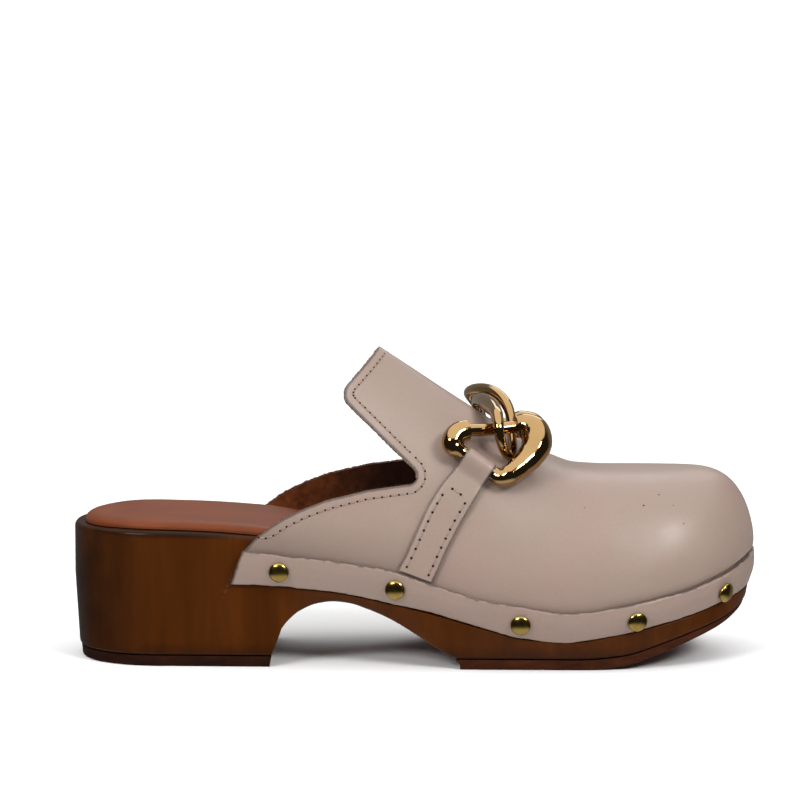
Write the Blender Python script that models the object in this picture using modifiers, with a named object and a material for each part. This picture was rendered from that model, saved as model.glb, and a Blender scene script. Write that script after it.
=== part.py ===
"""Backless clog for the right foot: carved wooden sole, leather upper, nailed rand and instep chain.

The toe points along +X, the outer (lateral) side of the foot is at -Y, and the sole stands on z = 0.
Sizes and tables are in millimetres; vertices are scaled to metres when meshes are made.
"""

import math
from collections import namedtuple

import bmesh
import bpy
import numpy as np
from mathutils import Matrix, Vector

MM = 0.001
OBJECT_NAME = "wooden_clog"

# Overall sizes
HEEL_BACK_X = -127.8
HEEL_ARC_X = -92.0
TOE_ARC_X = 58.0
TOE_TIP_X = 122.8
TOE_TIP_Y = 4.0
HEEL_ARC_POWER = 2.2
TOE_ARC_POWER = 2.2
HEEL_ARC_STEP = 15
TOE_ARC_STEP = 9

# Walls, plates and clearances
GAP = 0.3
UPPER_WALL = 1.8
RAND_WALL = 1.8
RIM_BEVEL = 1.0
TREAD_INSET = 0.6
LIFT_THICKNESS = 4.0
TREAD_END_BEVEL = 2.6
WELD = 1e-7

# Sides of the foot, as the sign of y
LATERAL = -1
MEDIAL = 1

# Top rim of the wood in plan, between the round of the heel and the round of the toe
Plan = namedtuple("Plan", "x lateral medial")
PLAN = (
    Plan(-92.0, 33.0, 31.0),
    Plan(-66.0, 33.8, 31.0),
    Plan(-35.0, 34.6, 31.6),
    Plan(0.0, 37.4, 35.6),
    Plan(25.0, 39.8, 38.8),
    Plan(58.0, 41.0, 40.6),
)

# Footbed height, and how far the bottom edge of the wood lies outside its rim
Footbed = namedtuple("Footbed", "x top bottom_offset rebate")
FOOTBED = (
    Footbed(-127.8, 50.4, -1.6, 0.0),
    Footbed(-108.0, 51.0, -1.8, 0.0),
    Footbed(-85.0, 50.6, -2.0, 0.0),
    Footbed(-60.0, 49.0, -1.6, 0.2),
    Footbed(-40.0, 46.0, -1.2, 1.0),
    Footbed(-20.0, 40.6, -1.0, 1.8),
    Footbed(0.0, 33.6, -1.0, 2.0),
    Footbed(20.0, 27.4, -1.2, 2.0),
    Footbed(40.0, 23.2, -1.6, 2.0),
    Footbed(56.0, 21.6, -1.6, 2.0),
    Footbed(76.0, 22.6, -1.0, 2.0),
    Footbed(95.0, 26.0, 0.0, 2.0),
    Footbed(110.0, 30.0, 0.8, 2.0),
    Footbed(122.8, 35.4, 1.0, 2.0),
)

# Underside of the wood from the breast of the heel, over the arch, to the start of the tread
Arch = namedtuple("Arch", "x z")
ARCH = (
    Arch(-53.6, 4.3),
    Arch(-51.2, 10.4),
    Arch(-49.8, 14.4),
    Arch(-47.3, 17.6),
    Arch(-43.4, 21.0),
    Arch(-36.6, 24.0),
    Arch(-30.7, 24.8),
    Arch(-24.7, 24.2),
    Arch(-18.7, 22.3),
    Arch(-12.7, 19.9),
    Arch(-6.7, 16.8),
    Arch(-0.7, 13.1),
    Arch(9.0, 6.9),
    Arch(14.6, 4.1),
)

# Forefoot tread: height of its underside and its thickness
Tread = namedtuple("Tread", "x bottom thickness")
TREAD = (
    Tread(14.6, 0.0, 3.8),
    Tread(60.0, 0.0, 3.8),
    Tread(76.0, 1.2, 3.8),
    Tread(93.0, 6.4, 3.4),
    Tread(105.0, 10.8, 2.9),
    Tread(115.0, 14.8, 2.2),
    Tread(122.8, 19.2, 1.6),
)

# Crown of the upper: ridge height, the two powers of each cross-section, and the swell over the rand
Crown = namedtuple("Crown", "x ridge side_power top_power swell")
CROWN = (
    Crown(-72.0, 154.0, 1.50, 1.80, 0.0),
    Crown(-12.7, 115.0, 1.55, 1.80, 0.0),
    Crown(14.2, 97.2, 1.80, 1.85, 0.0),
    Crown(40.0, 80.3, 2.30, 1.95, 0.2),
    Crown(51.0, 74.0, 2.60, 2.00, 0.5),
    Crown(60.0, 70.8, 2.90, 2.05, 0.9),
    Crown(72.0, 69.8, 3.20, 2.10, 1.4),
    Crown(95.0, 70.0, 4.00, 2.25, 2.0),
)
TOE_POLE_X = 95.0
CROWN_STEPS = 10
SWELL_POWER = 0.35
SKIRT_DEPTH = 5.0
UPPER_REAR_X = -72.0

# Rand: heights of its two edges on the outer face
Rand = namedtuple("Rand", "x top bottom")
RAND = (
    Rand(-68.4, 44.8, 31.5),
    Rand(-55.0, 43.4, 31.3),
    Rand(-40.0, 42.0, 30.1),
    Rand(-28.0, 40.5, 28.6),
    Rand(-8.0, 37.2, 24.6),
    Rand(9.0, 31.2, 20.5),
    Rand(26.0, 26.9, 15.8),
    Rand(40.0, 24.1, 12.5),
    Rand(55.0, 22.5, 11.3),
    Rand(76.0, 24.6, 14.2),
    Rand(92.0, 27.6, 17.4),
    Rand(106.0, 31.0, 20.8),
    Rand(116.0, 34.2, 23.8),
    Rand(127.0, 39.4, 26.6),
)
RAND_REAR_BOTTOM_X = -68.4
RAND_REAR_TOP_X = -63.8
RAND_OVERLAP = 6.0

# Collar, throat and tab as one line seen from the side, from the rear of the quarter to the tab's peak
Collar = namedtuple("Collar", "x z corner_radius")
COLLAR = (
    Collar(-71.4, 26.0, 0.0),
    Collar(-63.6, 44.0, 0.0),
    Collar(-58.0, 49.8, 0.0),
    Collar(-50.0, 55.4, 0.0),
    Collar(-42.0, 59.4, 0.0),
    Collar(-33.0, 62.8, 0.0),
    Collar(-18.0, 66.4, 0.0),
    Collar(-4.0, 68.2, 0.0),
    Collar(5.4, 68.6, 3.5),
    Collar(-28.3, 100.6, 5.0),
    Collar(20.0, 150.0, 0.0),
)
CUT_BACK_X = -110.0
CUT_TOP_Z = 180.0
CUT_HALF_WIDTH = 80.0
CORNER_STEPS = 4

# Brass studs, by their place along the rand
STUD_XS = (-50.5, -7.7, 38.3, 80.9, 114.0)
STUD_RADIUS = 3.75
STUD_HEIGHT = 2.3
STUD_EDGE = 0.7
STUD_SEAT = 0.35
STUD_STEPS = 14
STUD_RINGS = 4

# Insole
INSOLE_INSET = 4.0
INSOLE_THICKNESS = 3.0
INSOLE_ROUND = 2.6

# Straps: the two edges as seen from the side, from the rand upward, and the height over the upper
Strap = namedtuple("Strap", "rear_x rear_z front_x front_z lift")
STRAP = (
    Strap(-6.2, 37.8, 6.2, 33.4, 0.0),
    Strap(-1.0, 49.0, 10.2, 43.2, 0.0),
    Strap(4.2, 60.0, 15.6, 53.6, 0.0),
    Strap(9.4, 68.0, 20.2, 61.0, 0.3),
)
STRAP_TOP = {
    LATERAL: Strap(13.8, 72.9, 23.6, 66.4, 0.4),
    MEDIAL: Strap(15.2, 69.3, 23.4, 63.8, 0.4),
}
STRAP_WALL = 2.0
STRAP_GAP = 0.45
STRAP_ACROSS = 6
STRAP_FOLD_WALL = 1.5
STRAP_FOLD_HALF = 5.8

# Chain: each link is a closed line of bends; a step is the wire's radius just past a shoulder
Bend = namedtuple("Bend", "x y z radius step")
OUTER_LINK = (
    Bend(18.6, -26.4, 87.8, 2.3, 4.1),
    Bend(14.6, -28.3, 86.9, 4.2, 0.0),
    Bend(13.0, -30.2, 83.8, 4.2, 0.0),
    Bend(14.0, -31.2, 81.7, 3.6, 0.0),
    Bend(17.0, -31.1, 80.4, 2.5, 1.95),
    Bend(23.0, -32.0, 76.3, 1.95, 0.0),
    Bend(28.6, -32.9, 72.4, 1.95, 2.9),
    Bend(31.0, -34.2, 70.8, 3.2, 0.0),
    Bend(34.4, -33.6, 72.2, 3.9, 0.0),
    Bend(38.2, -31.0, 75.0, 4.3, 0.0),
    Bend(42.4, -27.2, 78.0, 5.0, 0.0),
    Bend(45.2, -22.8, 82.4, 5.7, 0.0),
    Bend(44.0, -19.4, 86.7, 5.7, 0.0),
    Bend(40.4, -17.9, 88.4, 4.9, 0.0),
    Bend(37.0, -18.6, 88.0, 4.2, 2.3),
    Bend(33.0, -19.9, 87.6, 2.3, 0.0),
    Bend(27.8, -21.7, 87.3, 2.3, 0.0),
    Bend(22.8, -24.0, 87.4, 2.3, 0.0),
)
FOLD_BEND = 5
MEDIAL_LINK_SHIFT = (0.0, 5.9, -4.9)
RING = (
    Bend(34.2, -24.8, 76.9, 1.7, 0.0),
    Bend(31.8, -27.6, 81.3, 1.8, 0.0),
    Bend(30.6, -28.9, 86.5, 1.9, 0.0),
    Bend(30.2, -27.3, 91.2, 2.1, 0.0),
    Bend(29.6, -20.6, 93.8, 2.5, 0.0),
    Bend(27.8, -7.5, 94.4, 3.2, 0.0),
    Bend(23.6, 8.0, 95.8, 3.0, 0.0),
    Bend(23.2, 19.3, 88.4, 2.1, 0.0),
    Bend(24.2, 25.2, 78.8, 1.65, 0.0),
    Bend(25.6, 32.4, 75.4, 1.65, 0.0),
    Bend(26.2, 36.8, 82.8, 1.8, 0.0),
    Bend(22.4, 31.8, 91.0, 1.9, 0.0),
    Bend(18.6, 22.4, 95.6, 2.0, 0.0),
    Bend(24.1, 13.0, 98.4, 2.1, 0.0),
    Bend(29.6, 5.0, 98.2, 2.1, 0.0),
    Bend(33.6, -2.5, 95.1, 2.1, 0.0),
    Bend(35.3, -7.5, 91.0, 1.9, 0.0),
    Bend(35.4, -11.0, 87.1, 1.75, 0.0),
    Bend(35.5, -14.6, 82.9, 1.7, 0.0),
    Bend(36.2, -21.2, 79.0, 1.7, 0.0),
)
BEND_STEPS = 3
SHOULDER = 0.08
BAR_RADIUS = 1.95
WIRE_BEVEL_RESOLUTION = 2

# Finishes: linear base colour, roughness, metallic
Finish = namedtuple("Finish", "color roughness metallic")
WOOD = Finish((0.085, 0.028, 0.008), 0.38, 0.0)
RUBBER = Finish((0.030, 0.009, 0.005), 0.60, 0.0)
TAN_LEATHER = Finish((0.290, 0.090, 0.035), 0.50, 0.0)
BLUSH_LEATHER = Finish((0.470, 0.370, 0.310), 0.45, 0.0)
BRASS = Finish((0.550, 0.380, 0.120), 0.25, 1.0)
GOLD = Finish((0.850, 0.550, 0.280), 0.10, 1.0)


def column(table, name):
    """Smooth function of x through one column of a table, without overshoot between rows."""
    xs = np.array([row.x for row in table])
    ys = np.array([getattr(row, name) for row in table])
    steps = np.diff(xs)
    slopes = np.diff(ys) / steps
    tangents = np.zeros(len(xs))
    tangents[0] = slopes[0]
    tangents[-1] = slopes[-1]
    for i in range(1, len(xs) - 1):
        before = slopes[i - 1]
        after = slopes[i]
        if before * after > 0.0:
            tangents[i] = 2.0 * before * after / (before + after)

    def value(x):
        x = min(max(x, xs[0]), xs[-1])
        i = min(int(np.searchsorted(xs, x, side="right")) - 1, len(steps) - 1)
        t = (x - xs[i]) / steps[i]
        rise = ys[i] * (1 + 2 * t) * (1 - t) ** 2 + ys[i + 1] * t * t * (3 - 2 * t)
        lean = tangents[i] * t * (1 - t) ** 2 - tangents[i + 1] * t * t * (1 - t)
        return float(rise + steps[i] * lean)

    return value


plan_lateral = column(PLAN, "lateral")
plan_medial = column(PLAN, "medial")
footbed_top = column(FOOTBED, "top")
bottom_offset = column(FOOTBED, "bottom_offset")
rebate_depth = column(FOOTBED, "rebate")
arch_height = column(ARCH, "z")
tread_bottom = column(TREAD, "bottom")
tread_thickness = column(TREAD, "thickness")
crown_ridge = column(CROWN, "ridge")
crown_side_power = column(CROWN, "side_power")
crown_top_power = column(CROWN, "top_power")
crown_swell = column(CROWN, "swell")
rand_top = column(RAND, "top")
rand_bottom = column(RAND, "bottom")


def smooth_step(t):
    t = min(max(t, 0.0), 1.0)
    return t * t * (3.0 - 2.0 * t)


# Plan stations

Station = namedtuple("Station", "x lateral medial ridge_x")


def make_stations():
    """Stations from the back of the heel to the tip of the toe, each with its rim on both sides."""
    stations = []
    heel_power = 2.0 / HEEL_ARC_POWER
    for degrees in range(0, 90, HEEL_ARC_STEP):
        angle = math.radians(degrees)
        x = HEEL_ARC_X + (HEEL_BACK_X - HEEL_ARC_X) * math.cos(angle) ** heel_power
        share = math.sin(angle) ** heel_power
        stations.append(Station(x, -plan_lateral(x) * share, plan_medial(x) * share, x))
    body = {row.x for row in PLAN if row.x != TOE_ARC_X} | {row.x for row in ARCH}
    body |= {UPPER_REAR_X, RAND_REAR_BOTTOM_X, RAND_REAR_TOP_X, -58.0, 36.0, 47.0}
    for x in sorted(body):
        stations.append(Station(x, -plan_lateral(x), plan_medial(x), x))
    toe_power = 2.0 / TOE_ARC_POWER
    for degrees in range(0, 91, TOE_ARC_STEP):
        angle = math.radians(degrees)
        along = math.sin(angle) ** toe_power
        share = max(math.cos(angle), 0.0) ** toe_power if degrees < 90 else 0.0
        x = TOE_ARC_X + (TOE_TIP_X - TOE_ARC_X) * along
        lateral = TOE_TIP_Y + (-plan_lateral(TOE_ARC_X) - TOE_TIP_Y) * share
        medial = TOE_TIP_Y + (plan_medial(TOE_ARC_X) - TOE_TIP_Y) * share
        ridge_x = TOE_ARC_X + (TOE_POLE_X - TOE_ARC_X) * math.sin(angle)
        stations.append(Station(x, lateral, medial, ridge_x))
    return stations


STATIONS = make_stations()
LAST = len(STATIONS) - 1


def rim_point(i, side):
    station = STATIONS[i]
    return Vector((station.x, station.lateral if side == LATERAL else station.medial))


def rim_normal(i, side):
    """Outward direction of the rim in plan."""
    if i == 0:
        return Vector((-1.0, 0.0))
    if i == LAST:
        return Vector((1.0, 0.0))
    along = rim_point(i + 1, side) - rim_point(i - 1, side)
    return (Vector((along.y, -along.x)) * -side).normalized()


def rim_offset(i, side, distance):
    return rim_point(i, side) + rim_normal(i, side) * distance


def station_at(x):
    """Index of the station at a listed x."""
    return min(range(len(STATIONS)), key=lambda i: abs(STATIONS[i].x - x))


def outer_x(i, side):
    """X of the rand's outer face at a station; heights of the rand are read there."""
    return rim_offset(i, side, 2 * GAP + UPPER_WALL + RAND_WALL).x


def wood_bottom(x):
    if x <= ARCH[-1].x:
        return arch_height(x)
    return tread_bottom(x) + tread_thickness(x) + GAP


# Scene helpers

def clear_scene():
    for item in list(bpy.data.objects):
        bpy.data.objects.remove(item, do_unlink=True)
    for group in list(bpy.data.collections):
        bpy.data.collections.remove(group)


def make_material(name, finish):
    material = bpy.data.materials.new(name)
    material.use_nodes = True
    shader = material.node_tree.nodes["Principled BSDF"]
    shader.inputs["Base Color"].default_value = (*finish.color, 1.0)
    shader.inputs["Roughness"].default_value = finish.roughness
    shader.inputs["Metallic"].default_value = finish.metallic
    return material


def make_collection(name):
    group = bpy.data.collections.new(name)
    bpy.context.scene.collection.children.link(group)
    return group


def add_object(name, data, group, finish=None, parent=None):
    item = bpy.data.objects.new(name, data)
    group.objects.link(item)
    if finish is not None:
        data.materials.append(make_material(name + "_finish", finish))
    item.parent = parent
    return item


def add_cutter(name, data, group):
    item = add_object(name, data, group)
    item.hide_render = True
    item.display_type = "WIRE"
    return item


def smooth_shaded(mesh, angle=35.0):
    mesh.shade_smooth()
    mesh.set_sharp_from_angle(angle=math.radians(angle))
    return mesh


def mesh_from(bm, name):
    bmesh.ops.remove_doubles(bm, verts=bm.verts, dist=WELD)
    mesh = bpy.data.meshes.new(name)
    bm.to_mesh(mesh)
    bm.free()
    return smooth_shaded(mesh)


def loft(name, sections, capped=(False, False)):
    """Closed skin through rings of equal point counts; an end that isn't capped closes on itself."""
    bm = bmesh.new()
    rings = [[bm.verts.new(Vector(point) * MM) for point in section] for section in sections]
    for near, far in zip(rings, rings[1:]):
        for a in range(len(near)):
            b = (a + 1) % len(near)
            bm.faces.new((near[a], near[b], far[b], far[a]))
    if capped[0]:
        bm.faces.new(rings[0][::-1])
    if capped[1]:
        bm.faces.new(rings[-1])
    bmesh.ops.remove_doubles(bm, verts=bm.verts, dist=WELD)
    bmesh.ops.recalc_face_normals(bm, faces=bm.faces)
    return mesh_from(bm, name)


def sheet(name, sections):
    """Open skin through rows of equal point counts, facing outward for rows that run lateral to medial."""
    bm = bmesh.new()
    rows = [[bm.verts.new(Vector(point) * MM) for point in section] for section in sections]
    for near, far in zip(rows, rows[1:]):
        for a in range(len(near) - 1):
            bm.faces.new((near[a], far[a], far[a + 1], near[a + 1]))
    return mesh_from(bm, name)


def both_sides(side_points):
    """Ring from the lateral points, top to bottom, and back up the medial points."""
    return side_points(LATERAL) + side_points(MEDIAL)[::-1]


def boolean(item, cutter, operation):
    modifier = item.modifiers.new(operation.lower(), "BOOLEAN")
    modifier.operation = operation
    modifier.solver = "EXACT"
    modifier.object = cutter


def frozen_mesh(item, name):
    """The evaluated mesh of an object, welded, with the object itself removed."""
    bpy.context.view_layer.update()
    evaluated = item.evaluated_get(bpy.context.evaluated_depsgraph_get())
    mesh = bpy.data.meshes.new_from_object(evaluated)
    mesh.transform(item.matrix_world)
    bpy.data.objects.remove(item, do_unlink=True)
    bm = bmesh.new()
    bm.from_mesh(mesh)
    bmesh.ops.remove_doubles(bm, verts=bm.verts, dist=WELD)
    bm.to_mesh(mesh)
    bm.free()
    mesh.name = name
    return mesh


# Sole

def wood_side(i, side):
    """Wood from the rim down: bevelled rim, wall behind the rand, ledge under it, lower wall, edge."""
    station = STATIONS[i]
    top = footbed_top(station.x)
    bottom = wood_bottom(station.x)
    edge = bottom_offset(station.x)
    ledge = rebate_depth(station.x)
    ledge_z = max(rand_bottom(outer_x(i, side)) - GAP, bottom + 1.5)
    levels = (
        (-RIM_BEVEL, top),
        (0.0, top - RIM_BEVEL),
        (0.0, ledge_z),
        (ledge, ledge_z),
        (edge, bottom + 0.5 * RIM_BEVEL),
        (edge - 0.5 * RIM_BEVEL, bottom),
    )
    return [(*rim_offset(i, side, offset), z) for offset, z in levels]


def make_wood_sole(group, parent):
    sections = [both_sides(lambda side: wood_side(i, side)) for i in range(len(STATIONS))]
    return add_object("wood_sole", loft("wood_sole", sections), group, WOOD, parent)


def plate_side(i, side, top, bottom, inset, shift=0.0):
    """Two edges of a rubber plate under the wood, its lower edge moved forward by a shift."""
    x = STATIONS[i].x
    offset = bottom_offset(x) - inset
    upper_edge = rim_offset(i, side, offset)
    lower_edge = rim_offset(i, side, offset - 0.4)
    return [(*upper_edge, top), (lower_edge.x + shift, lower_edge.y, bottom)]


def make_heel_lift(group, parent):
    breast = station_at(ARCH[0].x)
    sections = []
    for i in range(breast + 1):
        shift = -0.8 if i == breast else 0.0
        sections.append(both_sides(lambda side: plate_side(i, side, LIFT_THICKNESS, 0.0, TREAD_INSET, shift)))
    mesh = loft("heel_lift", sections, capped=(False, True))
    return add_object("heel_lift", mesh, group, RUBBER, parent)


def make_forefoot_tread(group, parent):
    start = station_at(TREAD[0].x)
    sections = []
    for i in range(start, len(STATIONS)):
        x = STATIONS[i].x
        bottom = tread_bottom(x)
        top = bottom + tread_thickness(x)
        shift = TREAD_END_BEVEL if i == start else 0.0
        sections.append(both_sides(lambda side: plate_side(i, side, top, bottom, TREAD_INSET, shift)))
    mesh = loft("forefoot_tread", sections, capped=(True, False))
    return add_object("forefoot_tread", mesh, group, RUBBER, parent)


def insole_side(i, side):
    base = footbed_top(STATIONS[i].x) + GAP
    levels = (
        (-INSOLE_INSET - INSOLE_ROUND, INSOLE_THICKNESS),
        (-INSOLE_INSET - 0.3 * INSOLE_ROUND, 0.8 * INSOLE_THICKNESS),
        (-INSOLE_INSET, 0.4 * INSOLE_THICKNESS),
        (-INSOLE_INSET, 0.0),
    )
    return [(*rim_offset(i, side, offset), base + rise) for offset, rise in levels]


def make_insole(group, parent):
    sections = [both_sides(lambda side: insole_side(i, side)) for i in range(len(STATIONS))]
    return add_object("insole", loft("insole", sections), group, TAN_LEATHER, parent)


# Upper

def ridge_y(x):
    return TOE_TIP_Y * smooth_step((x - 20.0) / (TOE_POLE_X - 20.0))


def skirt_top(x, rand_x):
    """Height up to which the upper hugs the side of the wood, clear of the rand."""
    return max(footbed_top(x) + 0.5, rand_top(rand_x) + GAP)


def upper_side(i, side):
    """Outer face of the upper from its hidden lower edge up to the ridge."""
    station = STATIONS[i]
    base = rim_offset(i, side, GAP + UPPER_WALL)
    outward = rim_normal(i, side)
    ridge = Vector((station.ridge_x, ridge_y(station.ridge_x)))
    low = skirt_top(station.x, outer_x(i, side))
    high = crown_ridge(station.ridge_x)
    side_power = 2.0 / crown_side_power(station.ridge_x)
    top_power = 2.0 / crown_top_power(station.ridge_x)
    swell = crown_swell(station.ridge_x)
    points = [(*base, rand_top(outer_x(i, side)) - SKIRT_DEPTH)]
    for step in range(CROWN_STEPS + 1):
        angle = 0.5 * math.pi * step / CROWN_STEPS
        reach = max(math.cos(angle), 0.0) ** side_power if step < CROWN_STEPS else 0.0
        rise = math.sin(angle) ** top_power
        bulge = swell * math.sin(math.pi * rise ** SWELL_POWER)
        plan = ridge + (base - ridge) * reach + outward * bulge
        points.append((*plan, low + (high - low) * rise))
    return points


def upper_section(i):
    lateral = upper_side(i, LATERAL)
    return lateral + upper_side(i, MEDIAL)[-2::-1]


def base_half_width(x, side):
    return (plan_lateral(x) if side == LATERAL else plan_medial(x)) + GAP + UPPER_WALL


def upper_y(x, z, side):
    """Half-width of the upper's outer face behind the toe, at a height seen from the side."""
    low = skirt_top(x, x)
    rise = min(max((z - low) / (crown_ridge(x) - low), 0.0), 1.0)
    reach = (1.0 - rise ** crown_top_power(x)) ** (1.0 / crown_side_power(x))
    return ridge_y(x) + reach * (side * base_half_width(x, side) - ridge_y(x))


def upper_z(x, y):
    """Height of the upper's outer face behind the toe, over a point in plan."""
    side = LATERAL if y < ridge_y(x) else MEDIAL
    low = skirt_top(x, x)
    reach = abs(y - ridge_y(x)) / abs(side * base_half_width(x, side) - ridge_y(x))
    rise = (1.0 - min(reach, 1.0) ** crown_side_power(x)) ** (1.0 / crown_top_power(x))
    return low + (crown_ridge(x) - low) * rise


def upper_frame(x, y):
    """Point, forward tangent, tangent toward the ridge and outward normal on the upper."""
    step = 0.5
    along = Vector((2 * step, 0.0, upper_z(x + step, y) - upper_z(x - step, y))).normalized()
    across = Vector((0.0, 2 * step, upper_z(x, y + step) - upper_z(x, y - step))).normalized()
    normal = along.cross(across).normalized()
    return Vector((x, y, upper_z(x, y))), along, normal.cross(along), normal


def rounded_outline(corners):
    """Polyline through corners, each with its radius replaced by an arc."""
    points = []
    for i, corner in enumerate(corners):
        here = Vector((corner.x, corner.z))
        if corner.corner_radius == 0.0:
            points.append(here)
            continue
        back = (Vector((corners[i - 1].x, corners[i - 1].z)) - here).normalized()
        ahead = (Vector((corners[i + 1].x, corners[i + 1].z)) - here).normalized()
        half = 0.5 * back.angle(ahead)
        centre = here + (back + ahead).normalized() * corner.corner_radius / math.sin(half)
        start = here + back * corner.corner_radius / math.tan(half) - centre
        end = here + ahead * corner.corner_radius / math.tan(half) - centre
        for step in range(CORNER_STEPS + 1):
            blend = start.slerp(end, step / CORNER_STEPS)
            points.append(centre + blend.normalized() * corner.corner_radius)
    return points


def make_collar_cutter(group):
    """Prism behind and above the collar line, wide enough to cut both sides."""
    outline = rounded_outline(COLLAR)
    outline.append(Vector((COLLAR[-1].x, CUT_TOP_Z)))
    outline.append(Vector((CUT_BACK_X, CUT_TOP_Z)))
    outline.append(Vector((CUT_BACK_X, COLLAR[0].z)))
    curve = bpy.data.curves.new("collar_outline", "CURVE")
    curve.dimensions = "2D"
    curve.fill_mode = "BOTH"
    curve.extrude = CUT_HALF_WIDTH * MM
    spline = curve.splines.new("POLY")
    spline.points.add(len(outline) - 1)
    for point, place in zip(spline.points, outline):
        point.co = (place.x * MM, place.y * MM, 0.0, 1.0)
    spline.use_cyclic_u = True
    flat = add_object("collar_outline", curve, group)
    flat.rotation_euler = (0.5 * math.pi, 0.0, 0.0)
    return add_cutter("collar_cut", frozen_mesh(flat, "collar_cut"), group)


def make_upper(group, cutters, parent):
    first = station_at(UPPER_REAR_X)
    sections = [upper_section(i) for i in range(first, len(STATIONS))]
    upper = add_object("upper", sheet("upper", sections), group, BLUSH_LEATHER, parent)
    shell = upper.modifiers.new("wall", "SOLIDIFY")
    shell.thickness = UPPER_WALL * MM
    shell.offset = -1.0
    shell.use_even_offset = True
    boolean(upper, make_collar_cutter(cutters), "DIFFERENCE")
    return upper


# Rand and studs

def rand_levels(i, side):
    """Offsets and heights of the rand's section: inner face over the upper, then drawn in to the wood."""
    x = outer_x(i, side)
    top = rand_top(x)
    bottom = rand_bottom(x)
    over_upper = 2 * GAP + UPPER_WALL
    knee = top - RAND_OVERLAP
    return (
        (over_upper, top),
        (over_upper + RAND_WALL, top),
        (over_upper + RAND_WALL, knee),
        (GAP + RAND_WALL, bottom),
        (GAP, bottom),
        (over_upper, knee),
    )


def rand_section(i, side):
    return [(*rim_offset(i, side, offset), z) for offset, z in rand_levels(i, side)]


def rand_end_section(side):
    """Slanted raw end: the top edge starts further forward than the bottom edge."""
    low = rand_section(station_at(RAND_REAR_BOTTOM_X), side)
    high = rand_section(station_at(RAND_REAR_TOP_X), side)
    shares = (1.0, 1.0, 0.55, 0.0, 0.0, 0.55)
    return [Vector(a).lerp(Vector(b), share) for a, b, share in zip(low, high, shares)]


def make_rand(group, parent):
    first = station_at(RAND_REAR_TOP_X) + 1
    lateral = [rand_section(i, LATERAL) for i in range(first, len(STATIONS))]
    medial = [rand_section(i, MEDIAL) for i in range(first, LAST)]
    sections = [rand_end_section(LATERAL)] + lateral + medial[::-1] + [rand_end_section(MEDIAL)]
    mesh = loft("rand", sections, capped=(True, True))
    return add_object("rand", mesh, group, BLUSH_LEATHER, parent)


def rand_place(x, side):
    """Point at mid-height on the rand's outer face and its outward direction, at an outer x."""
    i = next(k for k in range(len(STATIONS)) if outer_x(k, side) > x)
    before = outer_x(i - 1, side)
    t = (x - before) / (outer_x(i, side) - before)
    faces = []
    for k in (i - 1, i):
        knee, foot = rand_section(k, side)[2:4]
        head = rand_section(k, side)[1]
        middle = 0.5 * (head[2] + foot[2])
        share = max((knee[2] - middle) / (knee[2] - foot[2]), 0.0)
        faces.append((Vector(knee).lerp(Vector(foot), share), Vector(knee) - Vector(foot)))
    place = faces[0][0].lerp(faces[1][0], t)
    up = (faces[0][1] + faces[1][1]).normalized()
    along = (faces[1][0] - faces[0][0]).normalized()
    outward = along.cross(up).normalized() * -side
    level = Vector((outward.x, outward.y, 0.0)).normalized()
    return place, (outward + level).normalized()


def make_stud_mesh():
    """Domed head as a half profile, turned about its axis."""
    profile = [(0.0, STUD_HEIGHT)]
    for ring in range(1, STUD_RINGS + 1):
        angle = 0.5 * math.pi * ring / STUD_RINGS
        height = STUD_EDGE + (STUD_HEIGHT - STUD_EDGE) * math.cos(angle)
        profile.append((STUD_RADIUS * math.sin(angle), height))
    profile.append((STUD_RADIUS, 0.0))
    profile.append((0.0, 0.0))
    mesh = bpy.data.meshes.new("stud_profile")
    points = [(x * MM, 0.0, z * MM) for x, z in profile]
    mesh.from_pydata(points, [(k, k + 1) for k in range(len(points) - 1)], [])
    return mesh


def make_studs(group, parent):
    for side, word in ((LATERAL, "lateral"), (MEDIAL, "medial")):
        for number, x in enumerate(STUD_XS, 1):
            stud = add_object(f"stud_{word}_{number}", make_stud_mesh(), group, BRASS, parent)
            turn = stud.modifiers.new("turn", "SCREW")
            turn.steps = STUD_STEPS
            turn.render_steps = STUD_STEPS
            turn.use_merge_vertices = True
            turn.merge_threshold = 1e-5
            turn.use_smooth_shade = True
            place, outward = rand_place(x, side)
            stud.location = (place + outward * STUD_SEAT) * MM
            stud.rotation_euler = outward.to_track_quat("Z", "Y").to_euler()


# Chain and straps

def outer_link(side):
    """Bends of an outer link; the medial one mirrors the lateral one, further down its side."""
    if side == LATERAL:
        return OUTER_LINK
    dx, dy, dz = MEDIAL_LINK_SHIFT
    return [bend._replace(x=bend.x + dx, y=dy - bend.y, z=bend.z + dz) for bend in OUTER_LINK]


def closed_line(bends):
    """Places and radii round a closed link, smoothed between its bends."""
    points = []
    count = len(bends)
    for k, bend in enumerate(bends):
        before, here, after, beyond = (Vector(bends[(k + n) % count][:3]) for n in (-1, 0, 1, 2))
        start = bend.step or bend.radius
        end = bends[(k + 1) % count].radius
        shares = [step / BEND_STEPS for step in range(BEND_STEPS)]
        if bend.step:
            shares.insert(1, SHOULDER)
        for t in shares:
            place = before * (1 - t) ** 3 + here * (3 * t ** 3 - 6 * t * t + 4)
            place += after * (1 + 3 * t + 3 * t * t - 3 * t ** 3) + beyond * t ** 3
            radius = start + (end - start) * smooth_step(t) if t > 0.0 else bend.radius
            points.append((place / 6.0, radius))
    return points


def add_wire(name, points, group, parent):
    """Closed wire of changing thickness."""
    curve = bpy.data.curves.new(name, "CURVE")
    curve.dimensions = "3D"
    curve.bevel_depth = MM
    curve.bevel_resolution = WIRE_BEVEL_RESOLUTION
    spline = curve.splines.new("POLY")
    spline.points.add(len(points) - 1)
    for point, (place, radius) in zip(spline.points, points):
        point.co = (*(place * MM), 1.0)
        point.radius = radius
    spline.use_cyclic_u = True
    spline.use_smooth = True
    return add_object(name, curve, group, GOLD, parent)


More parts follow.
